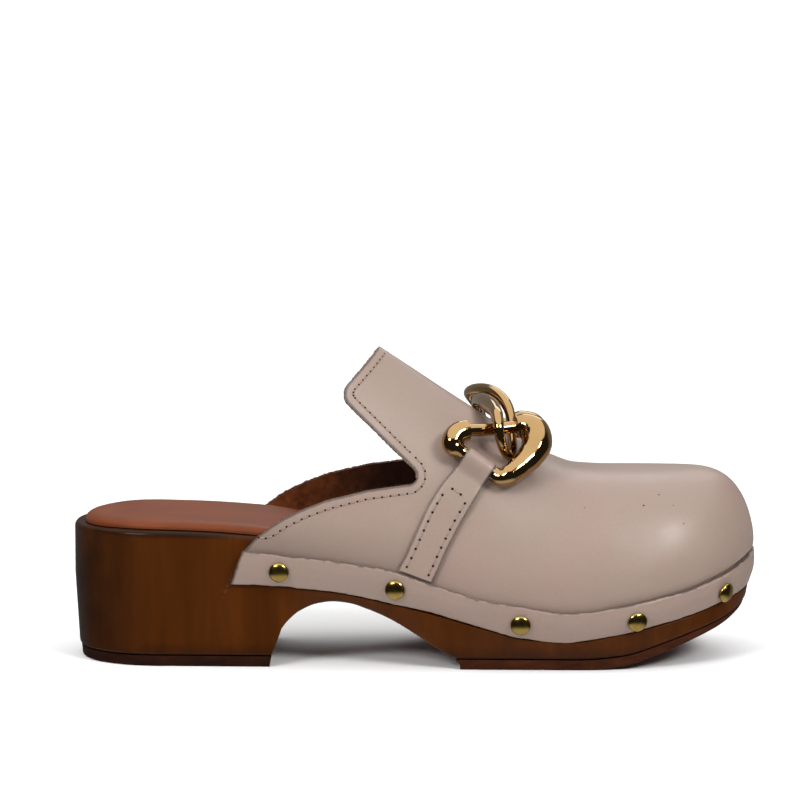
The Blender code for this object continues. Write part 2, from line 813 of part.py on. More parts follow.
def make_chain(group, parent):
    for side, word in ((LATERAL, "lateral"), (MEDIAL, "medial")):
        add_wire(f"chain_link_{word}", closed_line(outer_link(side)), group, parent)
    add_wire("chain_link_middle", closed_line(RING), group, parent)


def lower_bar(side):
    """Middle of a fold on the lower bar of its link, the bar's direction, and the way out from the upper."""
    bends = outer_link(side)
    rear, middle, front = (Vector(bends[FOLD_BEND + n][:3]) for n in (-1, 0, 1))
    direction = (front - rear).normalized()
    normal = upper_frame(middle.x, middle.y)[3]
    normal = (normal - direction * normal.dot(direction)).normalized()
    return (rear + 4.0 * middle + front) / 6.0, direction, normal


def strap_rows(side):
    """Inner and outer rows of a strap, from the rand up to the bar of the link."""
    rows = []
    for row in (*STRAP, STRAP_TOP[side]):
        inner = []
        outer = []
        for step in range(STRAP_ACROSS + 1):
            share = step / STRAP_ACROSS
            x = row.rear_x + (row.front_x - row.rear_x) * share
            z = row.rear_z + (row.front_z - row.rear_z) * share
            place, _, _, normal = upper_frame(x, upper_y(x, z, side))
            inner.append(place + normal * (STRAP_GAP + row.lift))
            outer.append(place + normal * (STRAP_GAP + row.lift + STRAP_WALL))
        rows.append(inner + outer[::-1])
    bar, direction, normal = lower_bar(side)
    inner = []
    outer = []
    for step in range(STRAP_ACROSS + 1):
        place = bar + direction * STRAP_FOLD_HALF * (2 * step / STRAP_ACROSS - 1)
        inner.append(place - normal * 0.5 * STRAP_WALL)
        outer.append(place + normal * 0.5 * STRAP_WALL)
    rows.append(inner + outer[::-1])
    return rows


def bar_cylinder(name, side, radius, half_length):
    """Cylinder about the lower bar of a link."""
    bar, direction, _ = lower_bar(side)
    bm = bmesh.new()
    bmesh.ops.create_cone(
        bm, cap_ends=True, segments=20, radius1=radius * MM, radius2=radius * MM, depth=2 * half_length * MM
    )
    spin = direction.to_track_quat("Z", "Y").to_matrix().to_4x4()
    bm.transform(Matrix.Translation(bar * MM) @ spin)
    return mesh_from(bm, name)


def make_straps(group, cutters, parent):
    """Each strap is a band on the upper, joined to its fold about the link's bar."""
    hole_radius = BAR_RADIUS + 1.2 * GAP
    for side, word in ((LATERAL, "lateral"), (MEDIAL, "medial")):
        name = f"strap_{word}"
        band = loft(name, strap_rows(side), capped=(True, True))
        fold = bar_cylinder(name + "_fold", side, hole_radius + STRAP_FOLD_WALL, STRAP_FOLD_HALF)
        hole = bar_cylinder(name + "_hole", side, hole_radius, STRAP_FOLD_HALF + 2.0)
        strap = add_object(name, band, group, BLUSH_LEATHER, parent)
        boolean(strap, add_cutter(name + "_fold", fold, cutters), "UNION")
        boolean(strap, add_cutter(name + "_hole", hole, cutters), "DIFFERENCE")


def main():
    clear_scene()
    group = make_collection(OBJECT_NAME)
    cutters = make_collection(OBJECT_NAME + "_cutters")
    parent = bpy.data.objects.new(OBJECT_NAME + "_origin", None)
    group.objects.link(parent)
    make_wood_sole(group, parent)
    make_heel_lift(group, parent)
    make_forefoot_tread(group, parent)
    make_insole(group, parent)
    make_upper(group, cutters, parent)
    make_rand(group, parent)
    make_studs(group, parent)
    make_chain(group, parent)
    make_straps(group, cutters, parent)


main()
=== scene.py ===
"""Dressed clog: wood, leather, stitching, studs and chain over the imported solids, lit as in the photo."""
import math
import random
from collections import namedtuple

import bmesh
import bpy
import numpy as np
from mathutils import Matrix, Vector, kdtree, noise


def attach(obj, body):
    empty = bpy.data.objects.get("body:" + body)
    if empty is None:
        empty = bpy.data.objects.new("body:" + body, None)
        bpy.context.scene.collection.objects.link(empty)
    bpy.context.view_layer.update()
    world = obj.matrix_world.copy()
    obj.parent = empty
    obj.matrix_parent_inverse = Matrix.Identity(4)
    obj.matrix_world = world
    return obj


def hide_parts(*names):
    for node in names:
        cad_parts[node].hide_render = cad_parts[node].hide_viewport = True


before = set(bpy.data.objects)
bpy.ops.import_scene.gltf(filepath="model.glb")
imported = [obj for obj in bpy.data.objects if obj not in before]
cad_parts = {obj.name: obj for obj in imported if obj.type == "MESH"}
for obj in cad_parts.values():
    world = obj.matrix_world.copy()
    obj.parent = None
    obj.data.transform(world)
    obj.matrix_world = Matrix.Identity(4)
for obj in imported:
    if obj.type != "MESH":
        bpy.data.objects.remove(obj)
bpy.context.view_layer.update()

# Sizes in millimetres, the same as the solids have, at a finer step

MM = 0.001

# Overall sizes
HEEL_BACK_X = -127.8
HEEL_ARC_X = -92.0
TOE_ARC_X = 58.0
TOE_TIP_X = 122.8
TOE_TIP_Y = 4.0
HEEL_ARC_POWER = 2.2
TOE_ARC_POWER = 2.2
HEEL_ARC_STEP = 3
TOE_ARC_STEP = 2

# Walls, plates and clearances
GAP = 0.3
UPPER_WALL = 1.8
RAND_WALL = 1.8
TREAD_INSET = 0.6
LIFT_THICKNESS = 4.0
TREAD_END_BEVEL = 2.6
WELD = 1e-4 * MM
SHARP_ANGLE = 40.0

# Sides of the foot, as the sign of y
LATERAL = -1
MEDIAL = 1
SIDES = ((LATERAL, "lateral"), (MEDIAL, "medial"))


def table(kind, *rows):
    """Rows of a table, each with its values named."""
    return tuple(kind(*row) for row in rows)


# Top rim of the wood in plan, between the round of the heel and the round of the toe
Plan = namedtuple("Plan", "x lateral medial")
PLAN = table(
    Plan,
    (-92.0, 33.0, 31.0), (-66.0, 33.8, 31.0), (-35.0, 34.6, 31.6), (0.0, 37.4, 35.6), (25.0, 39.8, 38.8),
    (58.0, 41.0, 40.6),
)

# Footbed height, and how far the bottom edge of the wood lies outside its rim
Footbed = namedtuple("Footbed", "x top bottom_offset rebate")
FOOTBED = table(
    Footbed,
    (-127.8, 50.4, -1.6, 0.0), (-108.0, 51.0, -1.8, 0.0), (-85.0, 50.6, -2.0, 0.0),
    (-60.0, 49.0, -1.6, 0.2), (-40.0, 46.0, -1.2, 1.0), (-20.0, 40.6, -1.0, 1.8), (0.0, 33.6, -1.0, 2.0),
    (20.0, 27.4, -1.2, 2.0), (40.0, 23.2, -1.6, 2.0), (56.0, 21.6, -1.6, 2.0), (76.0, 22.6, -1.0, 2.0),
    (95.0, 26.0, 0.0, 2.0), (110.0, 30.0, 0.8, 2.0), (122.8, 35.4, 1.0, 2.0),
)

# Underside of the wood from the breast of the heel, over the arch, to the start of the tread
Arch = namedtuple("Arch", "x z")
ARCH = table(
    Arch,
    (-53.6, 4.3), (-51.2, 10.4), (-49.8, 14.4), (-47.3, 17.6), (-43.4, 21.0), (-36.6, 24.0), (-30.7, 24.8),
    (-24.7, 24.2), (-18.7, 22.3), (-12.7, 19.9), (-6.7, 16.8), (-0.7, 13.1), (9.0, 6.9), (14.6, 4.1),
)

# Forefoot tread: height of its underside and its thickness
Tread = namedtuple("Tread", "x bottom thickness")
TREAD = table(
    Tread,
    (14.6, 0.0, 3.8), (60.0, 0.0, 3.8), (76.0, 1.2, 3.8), (93.0, 6.4, 3.4), (105.0, 10.8, 2.9),
    (115.0, 14.8, 2.2), (122.8, 19.2, 1.6),
)

# Crown of the upper: ridge height, the two powers of each cross-section, and the swell over the rand
Crown = namedtuple("Crown", "x ridge side_power top_power swell")
CROWN = table(
    Crown,
    (-72.0, 154.0, 1.50, 1.80, 0.0), (-12.7, 115.0, 1.55, 1.80, 0.0), (14.2, 97.2, 1.80, 1.85, 0.0),
    (40.0, 80.3, 2.30, 1.95, 0.2), (51.0, 74.0, 2.60, 2.00, 0.5), (60.0, 70.8, 2.90, 2.05, 0.9),
    (72.0, 69.8, 3.20, 2.10, 1.4), (95.0, 70.0, 4.00, 2.25, 2.0),
)
TOE_POLE_X = 95.0
RIDGE_TURN_X = 20.0
CROWN_STEPS = 44
SWELL_POWER = 0.35
SKIRT_DEPTH = 5.0
UPPER_REAR_X = -72.0

# Rand: heights of its two edges on the outer face
Rand = namedtuple("Rand", "x top bottom")
RAND = table(
    Rand,
    (-68.4, 44.8, 31.5), (-55.0, 43.4, 31.3), (-40.0, 42.0, 30.1), (-28.0, 40.5, 28.6), (-8.0, 37.2, 24.6),
    (9.0, 31.2, 20.5), (26.0, 26.9, 15.8), (40.0, 24.1, 12.5), (55.0, 22.5, 11.3), (76.0, 24.6, 14.2),
    (92.0, 27.6, 17.4), (106.0, 31.0, 20.8), (116.0, 34.2, 23.8), (127.0, 39.4, 26.6),
)
RAND_REAR_BOTTOM_X = -68.4
RAND_REAR_TOP_X = -63.8
RAND_OVERLAP = 6.0

# Collar, throat and tab as one line seen from the side, from the rear of the quarter to the tab's peak
Collar = namedtuple("Collar", "x z corner_radius")
COLLAR = table(
    Collar,
    (-71.4, 26.0, 0.0), (-63.6, 44.0, 0.0), (-58.0, 49.8, 0.0), (-50.0, 55.4, 0.0), (-42.0, 59.4, 0.0),
    (-33.0, 62.8, 0.0), (-18.0, 66.4, 0.0), (-4.0, 68.2, 0.0), (5.4, 68.6, 3.5), (-28.3, 100.6, 5.0),
    (20.0, 150.0, 0.0),
)
CUT_BACK_X = -110.0
CUT_TOP_Z = 180.0
CUT_HALF_WIDTH = 80.0
CORNER_STEPS = 8

# Brass studs, by their place along the rand
STUD_XS = (-50.5, -7.7, 38.3, 80.9, 114.0)
STUD_RADIUS = 3.75
STUD_HEIGHT = 2.3
STUD_EDGE = 0.7
STUD_SEAT = 0.35
STUD_FOOT = ((STUD_RADIUS - 0.1, 0.25), (STUD_RADIUS - 0.4, 0.0), (0.0, 0.0))

# Insole
INSOLE_INSET = 4.0

# Straps: the two edges as seen from the side, from the rand upward, and the height over the upper
Strap = namedtuple("Strap", "rear_x rear_z front_x front_z lift")
STRAP = table(
    Strap,
    (-6.2, 37.8, 6.2, 33.4, 0.0), (-1.0, 49.0, 10.2, 43.2, 0.0), (4.2, 60.0, 15.6, 53.6, 0.0),
    (9.4, 68.0, 20.2, 61.0, 0.3),
)
STRAP_TOP = {
    LATERAL: Strap(13.8, 72.9, 23.6, 66.4, 0.4),
    MEDIAL: Strap(15.2, 69.3, 23.4, 63.8, 0.4),
}
STRAP_WALL = 2.0
STRAP_GAP = 0.45
STRAP_FOLD_HALF = 5.8

# Chain: each link is a closed line of bends; a step is the wire's radius just past a shoulder
Bend = namedtuple("Bend", "x y z radius step", defaults=(0.0,))
OUTER_LINK = table(
    Bend,
    (18.6, -26.4, 87.8, 2.3, 4.1), (14.6, -28.3, 86.9, 4.2), (13.0, -30.2, 83.8, 4.2),
    (14.0, -31.2, 81.7, 3.6), (17.0, -31.1, 80.4, 2.5, 1.95), (23.0, -32.0, 76.3, 1.95),
    (28.6, -32.9, 72.4, 1.95, 2.9), (31.0, -34.2, 70.8, 3.2), (34.4, -33.6, 72.2, 3.9),
    (38.2, -31.0, 75.0, 4.3), (42.4, -27.2, 78.0, 5.0), (45.2, -22.8, 82.4, 5.7), (44.0, -19.4, 86.7, 5.7),
    (40.4, -17.9, 88.4, 4.9), (37.0, -18.6, 88.0, 4.2, 2.3), (33.0, -19.9, 87.6, 2.3),
    (27.8, -21.7, 87.3, 2.3), (22.8, -24.0, 87.4, 2.3),
)
FOLD_BEND = 5
MEDIAL_LINK_SHIFT = (0.0, 5.9, -4.9)
RING = table(
    Bend,
    (34.2, -24.8, 76.9, 1.7), (31.8, -27.6, 81.3, 1.8), (30.6, -28.9, 86.5, 1.9), (30.2, -27.3, 91.2, 2.1),
    (29.6, -20.6, 93.8, 2.5), (27.8, -7.5, 94.4, 3.2), (23.6, 8.0, 95.8, 3.0), (23.2, 19.3, 88.4, 2.1),
    (24.2, 25.2, 78.8, 1.65), (25.6, 32.4, 75.4, 1.65), (26.2, 36.8, 82.8, 1.8), (22.4, 31.8, 91.0, 1.9),
    (18.6, 22.4, 95.6, 2.0), (24.1, 13.0, 98.4, 2.1), (29.6, 5.0, 98.2, 2.1), (33.6, -2.5, 95.1, 2.1),
    (35.3, -7.5, 91.0, 1.9), (35.4, -11.0, 87.1, 1.75), (35.5, -14.6, 82.9, 1.7), (36.2, -21.2, 79.0, 1.7),
)
BEND_STEPS = 14
SHOULDER = 0.05
BODY_STEP = 1.5

# Finer forms of the dressed pieces, in millimetres and degrees
WOOD_FLAT = 8.0
LEDGE_LEAST = 1.5
WOOD_RIM_ROUND = 2.0
WOOD_LEDGE_ROUND = 0.8
WOOD_EDGE_ROUND = 1.6
PLATE_FLAT = 6.0
PLATE_ROUNDS = (0.3, 0.9)
PLATE_DRAFT = 0.4
LIFT_END_BEVEL = -0.8
INSOLE_PROFILE = (
    (0.0, 0.0), (0.0, 0.7), (0.15, 1.2), (0.5, 1.7), (1.1, 2.2), (2.0, 2.65), (3.2, 2.95), (4.6, 3.1),
    (6.4, 3.1), (9.0, 3.0), (13.0, 2.95),
)
INSOLE_WAVE = 0.12
INSOLE_WAVE_LENGTH = 24.0
INSOLE_EASE = 4.0
UPPER_WAVE = 0.35
UPPER_WAVE_LENGTH = 17.0
RIDGE_EASE = 14.0
COLLAR_STEP = 0.3
TAB_TRIM = (2.6, -2.5)
TAB_TRIM_BLEND = 9.0
RAND_ROUNDS = (0.3, 0.7, 3.0, 0.9, 0.3, 2.0)
RAND_LIP = (0.5, 0.6)
RAND_HIGH = 0.8
RAND_LOW = 0.15
RAND_FRAY = 0.45
RAND_WAVE = 0.5
RAND_PUFF = 0.45
RAND_SHARP_ANGLE = 50.0
STUD_RISE = 0.45
STUD_RISE_REACH = 7.0
STUD_RINGS = 14
STUD_STEPS = 48
WIRE_STEPS = 40
WIRE_SHARP_ANGLE = 55.0
STRAP_STEPS = 40
STRAP_SEAT = 0.42
STRAP_SEAT_END = 0.6
STRAP_ACROSS = 16
STRAP_LAYER_SHARE = 0.94
STRAP_SHARP_ANGLE = 60.0
FOLD_STEPS = 20
FOLD_RADIUS = 2.85
BRIDGE_STEPS = 10
STRAP_EDGE_EASE = (0.45, 0.85, 1.0)

# Seams in millimetres: pitch, thread radius and hole radius of each row, and where the rows run
SeamRow = namedtuple("SeamRow", "pitch thread hole")
QUARTER_ROW = SeamRow(3.1, 0.3, 0.42)
TAB_ROW = SeamRow(2.6, 0.3, 0.38)
STRAP_ROW = SeamRow(3.7, 0.25, 0.52)
QUARTER_RUN = (2.9, 20.5, 98.0)
TAB_RUN = (2.9, 98.5, 300.0)
RIDGE_CLEAR = 0.02
RIDGE_LIFT = Vector((1.0, 0.0, 1.5))
LIP_LOW = {LATERAL: 71.0, MEDIAL: 47.5}
LIP_CLEAR = 0.6
LIP_STEP = 0.5
LIP_DEPTH = 0.85
LIP_HALF = 0.72
LIP_REACH = 0.55
LIP_RAGGED = 0.35
LIP_RIPPLE = 0.9
THREAD_RINGS = 6
THREAD_STEPS = 8
PIT_PROFILE = ((0.6, -0.3), (1.0, -0.05), (1.0, 0.03), (0.5, 0.06))
STRAP_FACE = 1.97
STRAP_SEAM_TOP = 0.76
STRAP_SEAM_SHARE = 0.17
SEAM_STEPS = 60
CROSS_STEPS = 12
CROSS_STEP = 0.055
CROSS_RISE = 0.01

# Loose fibres on cut edges: share of places that have one and the longest, by edge
Fuzz = namedtuple("Fuzz", "share longest")
COLLAR_FUZZ = {LATERAL: Fuzz(0.6, 1.1), MEDIAL: Fuzz(0.8, 1.2)}
STRAP_FUZZ = Fuzz(0.45, 0.5)
RAND_FUZZ = Fuzz(0.35, 0.55)
FUZZ_SEED = 11
FUZZ_RADIUS = (0.05, 0.11)
FUZZ_LEAN = 0.8
FUZZ_BEND = 0.3
FUZZ_TAPER = (1.0, 0.8, 0.3)
FUZZ_STEPS = 4
STRAP_ROOTS = 180
RAND_END_ROOTS = 6
SCARS = ((90.0, 4.0, 0.3), (84.0, 8.0, 0.34), (96.0, 6.5, 0.2), (62.0, 11.0, 0.2), (101.0, 13.0, 0.24))

# Leather tones, linear, with their share on the rand and straps; the other tones are display values
LEATHER_GREEN = (0.252, 0.191, 0.153)
LEATHER_MAUVE = (0.264, 0.183, 0.152)
LEATHER_DARK = (0.150, 0.104, 0.084)
LEATHER_EDGE = (0.060, 0.046, 0.038)
# The rand's share is painted shade: it darkens the upper's own leather on the rand.
RAND_PAINTED_SHADE = 0.92
STRAP_SHADE = 0.97
THREADS = {"pale": (152, 133, 121), "brown": (166, 138, 124)}
# The lift's tones are the tread's rubber darkened: painted shade, as the heel lift gets less light.
LIFT_SHADED_TONES = ((28, 12, 5), (44, 20, 9))
TREAD_TONES = ((44, 20, 9), (66, 32, 15))
RAW_TONES = ((70, 58, 51), (128, 113, 102))
LIP_TONES = {LATERAL: RAW_TONES, MEDIAL: ((40, 22, 12), (104, 60, 32))}

# Where the finishes and the painted shade on them change along and up the shoe, in metres, and the painted
# shade over the rand in millimetres
LINING_SHADE_SPAN = (-0.058, -0.012)
SHADE_REAR_SPAN = (-0.05, 0.02)
SHADE_HEIGHT = 15.0
WOOD_BACK_SPAN = (-0.128, -0.098)
WOOD_RIM_SPAN = (0.0478, 0.0496)
WOOD_FOOT_SPAN = (0.0045, 0.0095)

# Stage, metres and degrees; the camera's lens, sensor and aim in millimetres
FLOOR_HALF = 14.0
FLOOR_Z = 0.0
FLOOR_TONE = 0.92
FLOOR_FAR = (1.6, 2.8)
FLOOR_GLOW = 0.3
WORLD_DIM = 0.03
WORLD_BACK = 0.28
WORLD_BACK_SPAN = (0.1, 0.6)
WORLD_TOP = 1.62
WORLD_TOP_SPAN = (0.64, 0.72)
WORLD_DOWN = 0.8
WORLD_DOWN_SPAN = (-0.75, -0.45)
LIGHTS = (
    ("front_left", (-1.1, -1.5, 1.2), (0.0, 0.0, 0.05), (0.8, 0.5), 25.0),
    ("front_right", (1.2, -1.4, 1.3), (0.0, 0.0, 0.05), (0.8, 0.5), 29.0),
    ("back_fill", (0.4, 1.7, 1.3), (0.0, 0.0, 0.05), (1.2, 0.6), 5.0),
)
LENS = 216.7
SENSOR_WIDTH = 36.0
CLIP_END = 50.0
CAMERA_UP = 7.8
CAMERA_AIM = (-6.0, 0.0, 95.4)
CAMERA_DISTANCE = 1.8


def column(rows, name):
    """Smooth function of x through one column of a table, without overshoot between rows."""
    xs = np.array([row.x for row in rows])
    ys = np.array([getattr(row, name) for row in rows])
    steps = np.diff(xs)
    slopes = np.diff(ys) / steps
    tangents = np.zeros(len(xs))
    tangents[0] = slopes[0]
    tangents[-1] = slopes[-1]
    for i in range(1, len(xs) - 1):
        before = slopes[i - 1]
        after = slopes[i]
        if before * after > 0.0:
            tangents[i] = 2.0 * before * after / (before + after)

    def value(x):
        x = min(max(x, xs[0]), xs[-1])
        i = min(int(np.searchsorted(xs, x, side="right")) - 1, len(steps) - 1)
        t = (x - xs[i]) / steps[i]
        rise = ys[i] * (1 + 2 * t) * (1 - t) ** 2 + ys[i + 1] * t * t * (3 - 2 * t)
        lean = tangents[i] * t * (1 - t) ** 2 - tangents[i + 1] * t * t * (1 - t)
        return float(rise + steps[i] * lean)

    return value


plan_lateral = column(PLAN, "lateral")
plan_medial = column(PLAN, "medial")
footbed_top = column(FOOTBED, "top")
bottom_offset = column(FOOTBED, "bottom_offset")
rebate_depth = column(FOOTBED, "rebate")
arch_height = column(ARCH, "z")
tread_bottom = column(TREAD, "bottom")
tread_thickness = column(TREAD, "thickness")
crown_ridge = column(CROWN, "ridge")
crown_side_power = column(CROWN, "side_power")
crown_top_power = column(CROWN, "top_power")
crown_swell = column(CROWN, "swell")
rand_top = column(RAND, "top")
rand_bottom = column(RAND, "bottom")


def smooth_step(t):
    t = min(max(t, 0.0), 1.0)
    return t * t * (3.0 - 2.0 * t)


Station = namedtuple("Station", "x lateral medial ridge_x")


def make_stations():
    """Stations from the back of the heel to the tip of the toe, each with its rim on both sides."""
    stations = []
    heel_power = 2.0 / HEEL_ARC_POWER
    for degrees in range(0, 90, HEEL_ARC_STEP):
        angle = math.radians(degrees)
        x = HEEL_ARC_X + (HEEL_BACK_X - HEEL_ARC_X) * math.cos(angle) ** heel_power
        share = math.sin(angle) ** heel_power
        stations.append(Station(x, -plan_lateral(x) * share, plan_medial(x) * share, x))
    body = {row.x for row in PLAN if row.x != TOE_ARC_X} | {row.x for row in ARCH}
    body |= {UPPER_REAR_X, RAND_REAR_BOTTOM_X, RAND_REAR_TOP_X}
    for x in np.arange(HEEL_ARC_X, TOE_ARC_X - 1.0, BODY_STEP):
        if min(abs(x - kept) for kept in body) > 0.4 * BODY_STEP:
            body.add(float(x))
    for x in sorted(body):
        stations.append(Station(x, -plan_lateral(x), plan_medial(x), x))
    toe_power = 2.0 / TOE_ARC_POWER
    for degrees in range(0, 91, TOE_ARC_STEP):
        angle = math.radians(degrees)
        along = math.sin(angle) ** toe_power
        share = max(math.cos(angle), 0.0) ** toe_power if degrees < 90 else 0.0
        x = TOE_ARC_X + (TOE_TIP_X - TOE_ARC_X) * along
        lateral = TOE_TIP_Y + (-plan_lateral(TOE_ARC_X) - TOE_TIP_Y) * share
        medial = TOE_TIP_Y + (plan_medial(TOE_ARC_X) - TOE_TIP_Y) * share
        ridge_x = TOE_ARC_X + (TOE_POLE_X - TOE_ARC_X) * math.sin(angle)
        stations.append(Station(x, lateral, medial, ridge_x))
    return stations


STATIONS = make_stations()
LAST = len(STATIONS) - 1


def rim_point(i, side):
    station = STATIONS[i]
    return Vector((station.x, station.lateral if side == LATERAL else station.medial))


def rim_normal(i, side):
    """Outward direction of the rim in plan."""
    if i == 0:
        return Vector((-1.0, 0.0))
    if i == LAST:
        return Vector((1.0, 0.0))
    along = rim_point(i + 1, side) - rim_point(i - 1, side)
    return (Vector((along.y, -along.x)) * -side).normalized()


def rim_offset(i, side, distance):
    return rim_point(i, side) + rim_normal(i, side) * distance


def station_at(x):
    """Index of the station at a listed x."""
    return min(range(len(STATIONS)), key=lambda i: abs(STATIONS[i].x - x))


def outer_x(i, side):
    """X of the rand's outer face at a station; heights of the rand are read there."""
    return rim_offset(i, side, 2 * GAP + UPPER_WALL + RAND_WALL).x


def wood_bottom(x):
    if x <= ARCH[-1].x:
        return arch_height(x)
    return tread_bottom(x) + tread_thickness(x) + GAP


def ridge_y(x):
    return TOE_TIP_Y * smooth_step((x - RIDGE_TURN_X) / (TOE_POLE_X - RIDGE_TURN_X))


def skirt_top(x, rand_x):
    """Height up to which the upper hugs the side of the wood, clear of the rand."""
    return max(footbed_top(x) + 0.5, rand_top(rand_x) + GAP)


def upper_side(i, side):
    """Outer face of the upper from its hidden lower edge up to the ridge."""
    station = STATIONS[i]
    base = rim_offset(i, side, GAP + UPPER_WALL)
    outward = rim_normal(i, side)
    ridge = Vector((station.ridge_x, ridge_y(station.ridge_x)))
    low = skirt_top(station.x, outer_x(i, side))
    high = crown_ridge(station.ridge_x)
    side_power = 2.0 / crown_side_power(station.ridge_x)
    top_power = 2.0 / crown_top_power(station.ridge_x)
    swell = crown_swell(station.ridge_x)
    points = [(*base, rand_top(outer_x(i, side)) - SKIRT_DEPTH)]
    for step in range(CROWN_STEPS + 1):
        angle = 0.5 * math.pi * step / CROWN_STEPS
        reach = max(math.cos(angle), 0.0) ** side_power if step < CROWN_STEPS else 0.0
        rise = math.sin(angle) ** top_power
        bulge = swell * math.sin(math.pi * rise ** SWELL_POWER)
        plan = ridge + (base - ridge) * reach + outward * bulge
        points.append((*plan, low + (high - low) * rise))
    return points


def base_half_width(x, side):
    return (plan_lateral(x) if side == LATERAL else plan_medial(x)) + GAP + UPPER_WALL


def upper_y(x, z, side):
    """Half-width of the upper's outer face behind the toe, at a height seen from the side."""
    low = skirt_top(x, x)
    rise = min(max((z - low) / (crown_ridge(x) - low), 0.0), 1.0)
    reach = (1.0 - rise ** crown_top_power(x)) ** (1.0 / crown_side_power(x))
    return ridge_y(x) + reach * (side * base_half_width(x, side) - ridge_y(x))


def upper_z(x, y):
    """Height of the upper's outer face behind the toe, over a point in plan."""
    side = LATERAL if y < ridge_y(x) else MEDIAL
    low = skirt_top(x, x)
    reach = abs(y - ridge_y(x)) / abs(side * base_half_width(x, side) - ridge_y(x))
    rise = (1.0 - min(reach, 1.0) ** crown_side_power(x)) ** (1.0 / crown_top_power(x))
    return low + (crown_ridge(x) - low) * rise


def upper_frame(x, y):
    """Point and outward normal on the upper, over a point in plan."""
    step = 0.5
    along = Vector((2 * step, 0.0, upper_z(x + step, y) - upper_z(x - step, y))).normalized()
    across = Vector((0.0, 2 * step, upper_z(x, y + step) - upper_z(x, y - step))).normalized()
    return Vector((x, y, upper_z(x, y))), along.cross(across).normalized()


def rounded_outline(corners):
    """Polyline through corners, each with its radius replaced by an arc."""
    points = []
    for i, corner in enumerate(corners):
        here = Vector((corner.x, corner.z))
        if corner.corner_radius == 0.0:
            points.append(here)
            continue
        back = (Vector((corners[i - 1].x, corners[i - 1].z)) - here).normalized()
        ahead = (Vector((corners[i + 1].x, corners[i + 1].z)) - here).normalized()
        half = 0.5 * back.angle(ahead)
        centre = here + (back + ahead).normalized() * corner.corner_radius / math.sin(half)
        start = here + back * corner.corner_radius / math.tan(half) - centre
        end = here + ahead * corner.corner_radius / math.tan(half) - centre
        for step in range(CORNER_STEPS + 1):
            blend = start.slerp(end, step / CORNER_STEPS)
            points.append(centre + blend.normalized() * corner.corner_radius)
    return points


def rand_face(i, side):
    """Knee and foot of the rand's outer face at a station, and the height of its top edge."""
    x = outer_x(i, side)
    top = rand_top(x)
    knee = Vector((*rim_offset(i, side, 2 * GAP + UPPER_WALL + RAND_WALL), top - RAND_OVERLAP))
    return knee, Vector((*rim_offset(i, side, GAP + RAND_WALL), rand_bottom(x))), top


def rand_place(x, side):
    """Point at mid-height on the rand's outer face and its outward direction, at an outer x."""
    i = next(k for k in range(len(STATIONS)) if outer_x(k, side) > x)
    before = outer_x(i - 1, side)
    t = (x - before) / (outer_x(i, side) - before)
    faces = []
    for k in (i - 1, i):
        knee, foot, top = rand_face(k, side)
        middle = 0.5 * (top + foot.z)
        share = max((knee.z - middle) / (knee.z - foot.z), 0.0)
        faces.append((knee.lerp(foot, share), knee - foot))
    place = faces[0][0].lerp(faces[1][0], t)
    up = (faces[0][1] + faces[1][1]).normalized()
    along = (faces[1][0] - faces[0][0]).normalized()
    outward = along.cross(up).normalized() * -side
    level = Vector((outward.x, outward.y, 0.0)).normalized()
    return place, (outward + level).normalized()


def outer_link(side):
    """Bends of an outer link; the medial one mirrors the lateral one, further down its side."""
    if side == LATERAL:
        return OUTER_LINK
    dx, dy, dz = MEDIAL_LINK_SHIFT
    return [bend._replace(x=bend.x + dx, y=dy - bend.y, z=bend.z + dz) for bend in OUTER_LINK]


def closed_line(bends):
    """Places and radii round a closed link, smoothed between its bends."""
    points = []
    count = len(bends)
    for k, bend in enumerate(bends):
        before, here, after, beyond = (Vector(bends[(k + n) % count][:3]) for n in (-1, 0, 1, 2))
        start = bend.step or bend.radius
        end = bends[(k + 1) % count].radius
        shares = [step / BEND_STEPS for step in range(BEND_STEPS)]
        if bend.step:
            shares.insert(1, SHOULDER)
        for t in shares:
            place = before * (1 - t) ** 3 + here * (3 * t ** 3 - 6 * t * t + 4)
            place += after * (1 + 3 * t + 3 * t * t - 3 * t ** 3) + beyond * t ** 3
            radius = start + (end - start) * smooth_step(t) if t > 0.0 else bend.radius
            points.append((place / 6.0, radius))
    return points


def lower_bar(side):
    """Middle of a fold on the lower bar of its link, the bar's direction, and the way out there."""
    bends = outer_link(side)
    rear, middle, front = (Vector(bends[FOLD_BEND + n][:3]) for n in (-1, 0, 1))
    direction = (front - rear).normalized()
    normal = upper_frame(middle.x, middle.y)[1]
    normal = (normal - direction * normal.dot(direction)).normalized()
    return (rear + 4.0 * middle + front) / 6.0, direction, normal


# Mesh tools

def mesh_of(bm, name):
    mesh = bpy.data.meshes.new(name)
    bm.to_mesh(mesh)
    bm.free()
    return mesh


def smoothed(mesh, sharp_angle=SHARP_ANGLE):
    mesh.shade_smooth()
    mesh.set_sharp_from_angle(angle=math.radians(sharp_angle))
    return mesh


def add_ring(bm, places):
    return [bm.verts.new(Vector(place) * MM) for place in places]


def skin(bm, rings):
    """Faces between rings of equal counts, closed round each ring."""
    faces = []
    for near, far in zip(rings, rings[1:]):
        for a in range(len(near)):
            b = (a + 1) % len(near)
            faces.append(bm.faces.new((near[a], near[b], far[b], far[a])))
    return faces


def hoop(middle, across, up, steps):
    """Places round a middle, by the two half-widths of the round."""
    turns = [2.0 * math.pi * k / steps for k in range(steps)]
    return [middle + across * math.cos(turn) + up * math.sin(turn) for turn in turns]


def loft(name, sections, capped=(False, False), sharp_angle=SHARP_ANGLE):
    """Closed skin through rings of equal point counts; an end that isn't capped closes on itself."""
    bm = bmesh.new()
    rings = [add_ring(bm, places) for places in sections]
    skin(bm, rings)
    if capped[0]:
        bm.faces.new(rings[0][::-1])
    if capped[1]:
        bm.faces.new(rings[-1])
    bmesh.ops.remove_doubles(bm, verts=bm.verts, dist=WELD)
    bmesh.ops.recalc_face_normals(bm, faces=bm.faces)
    return smoothed(mesh_of(bm, name), sharp_angle)


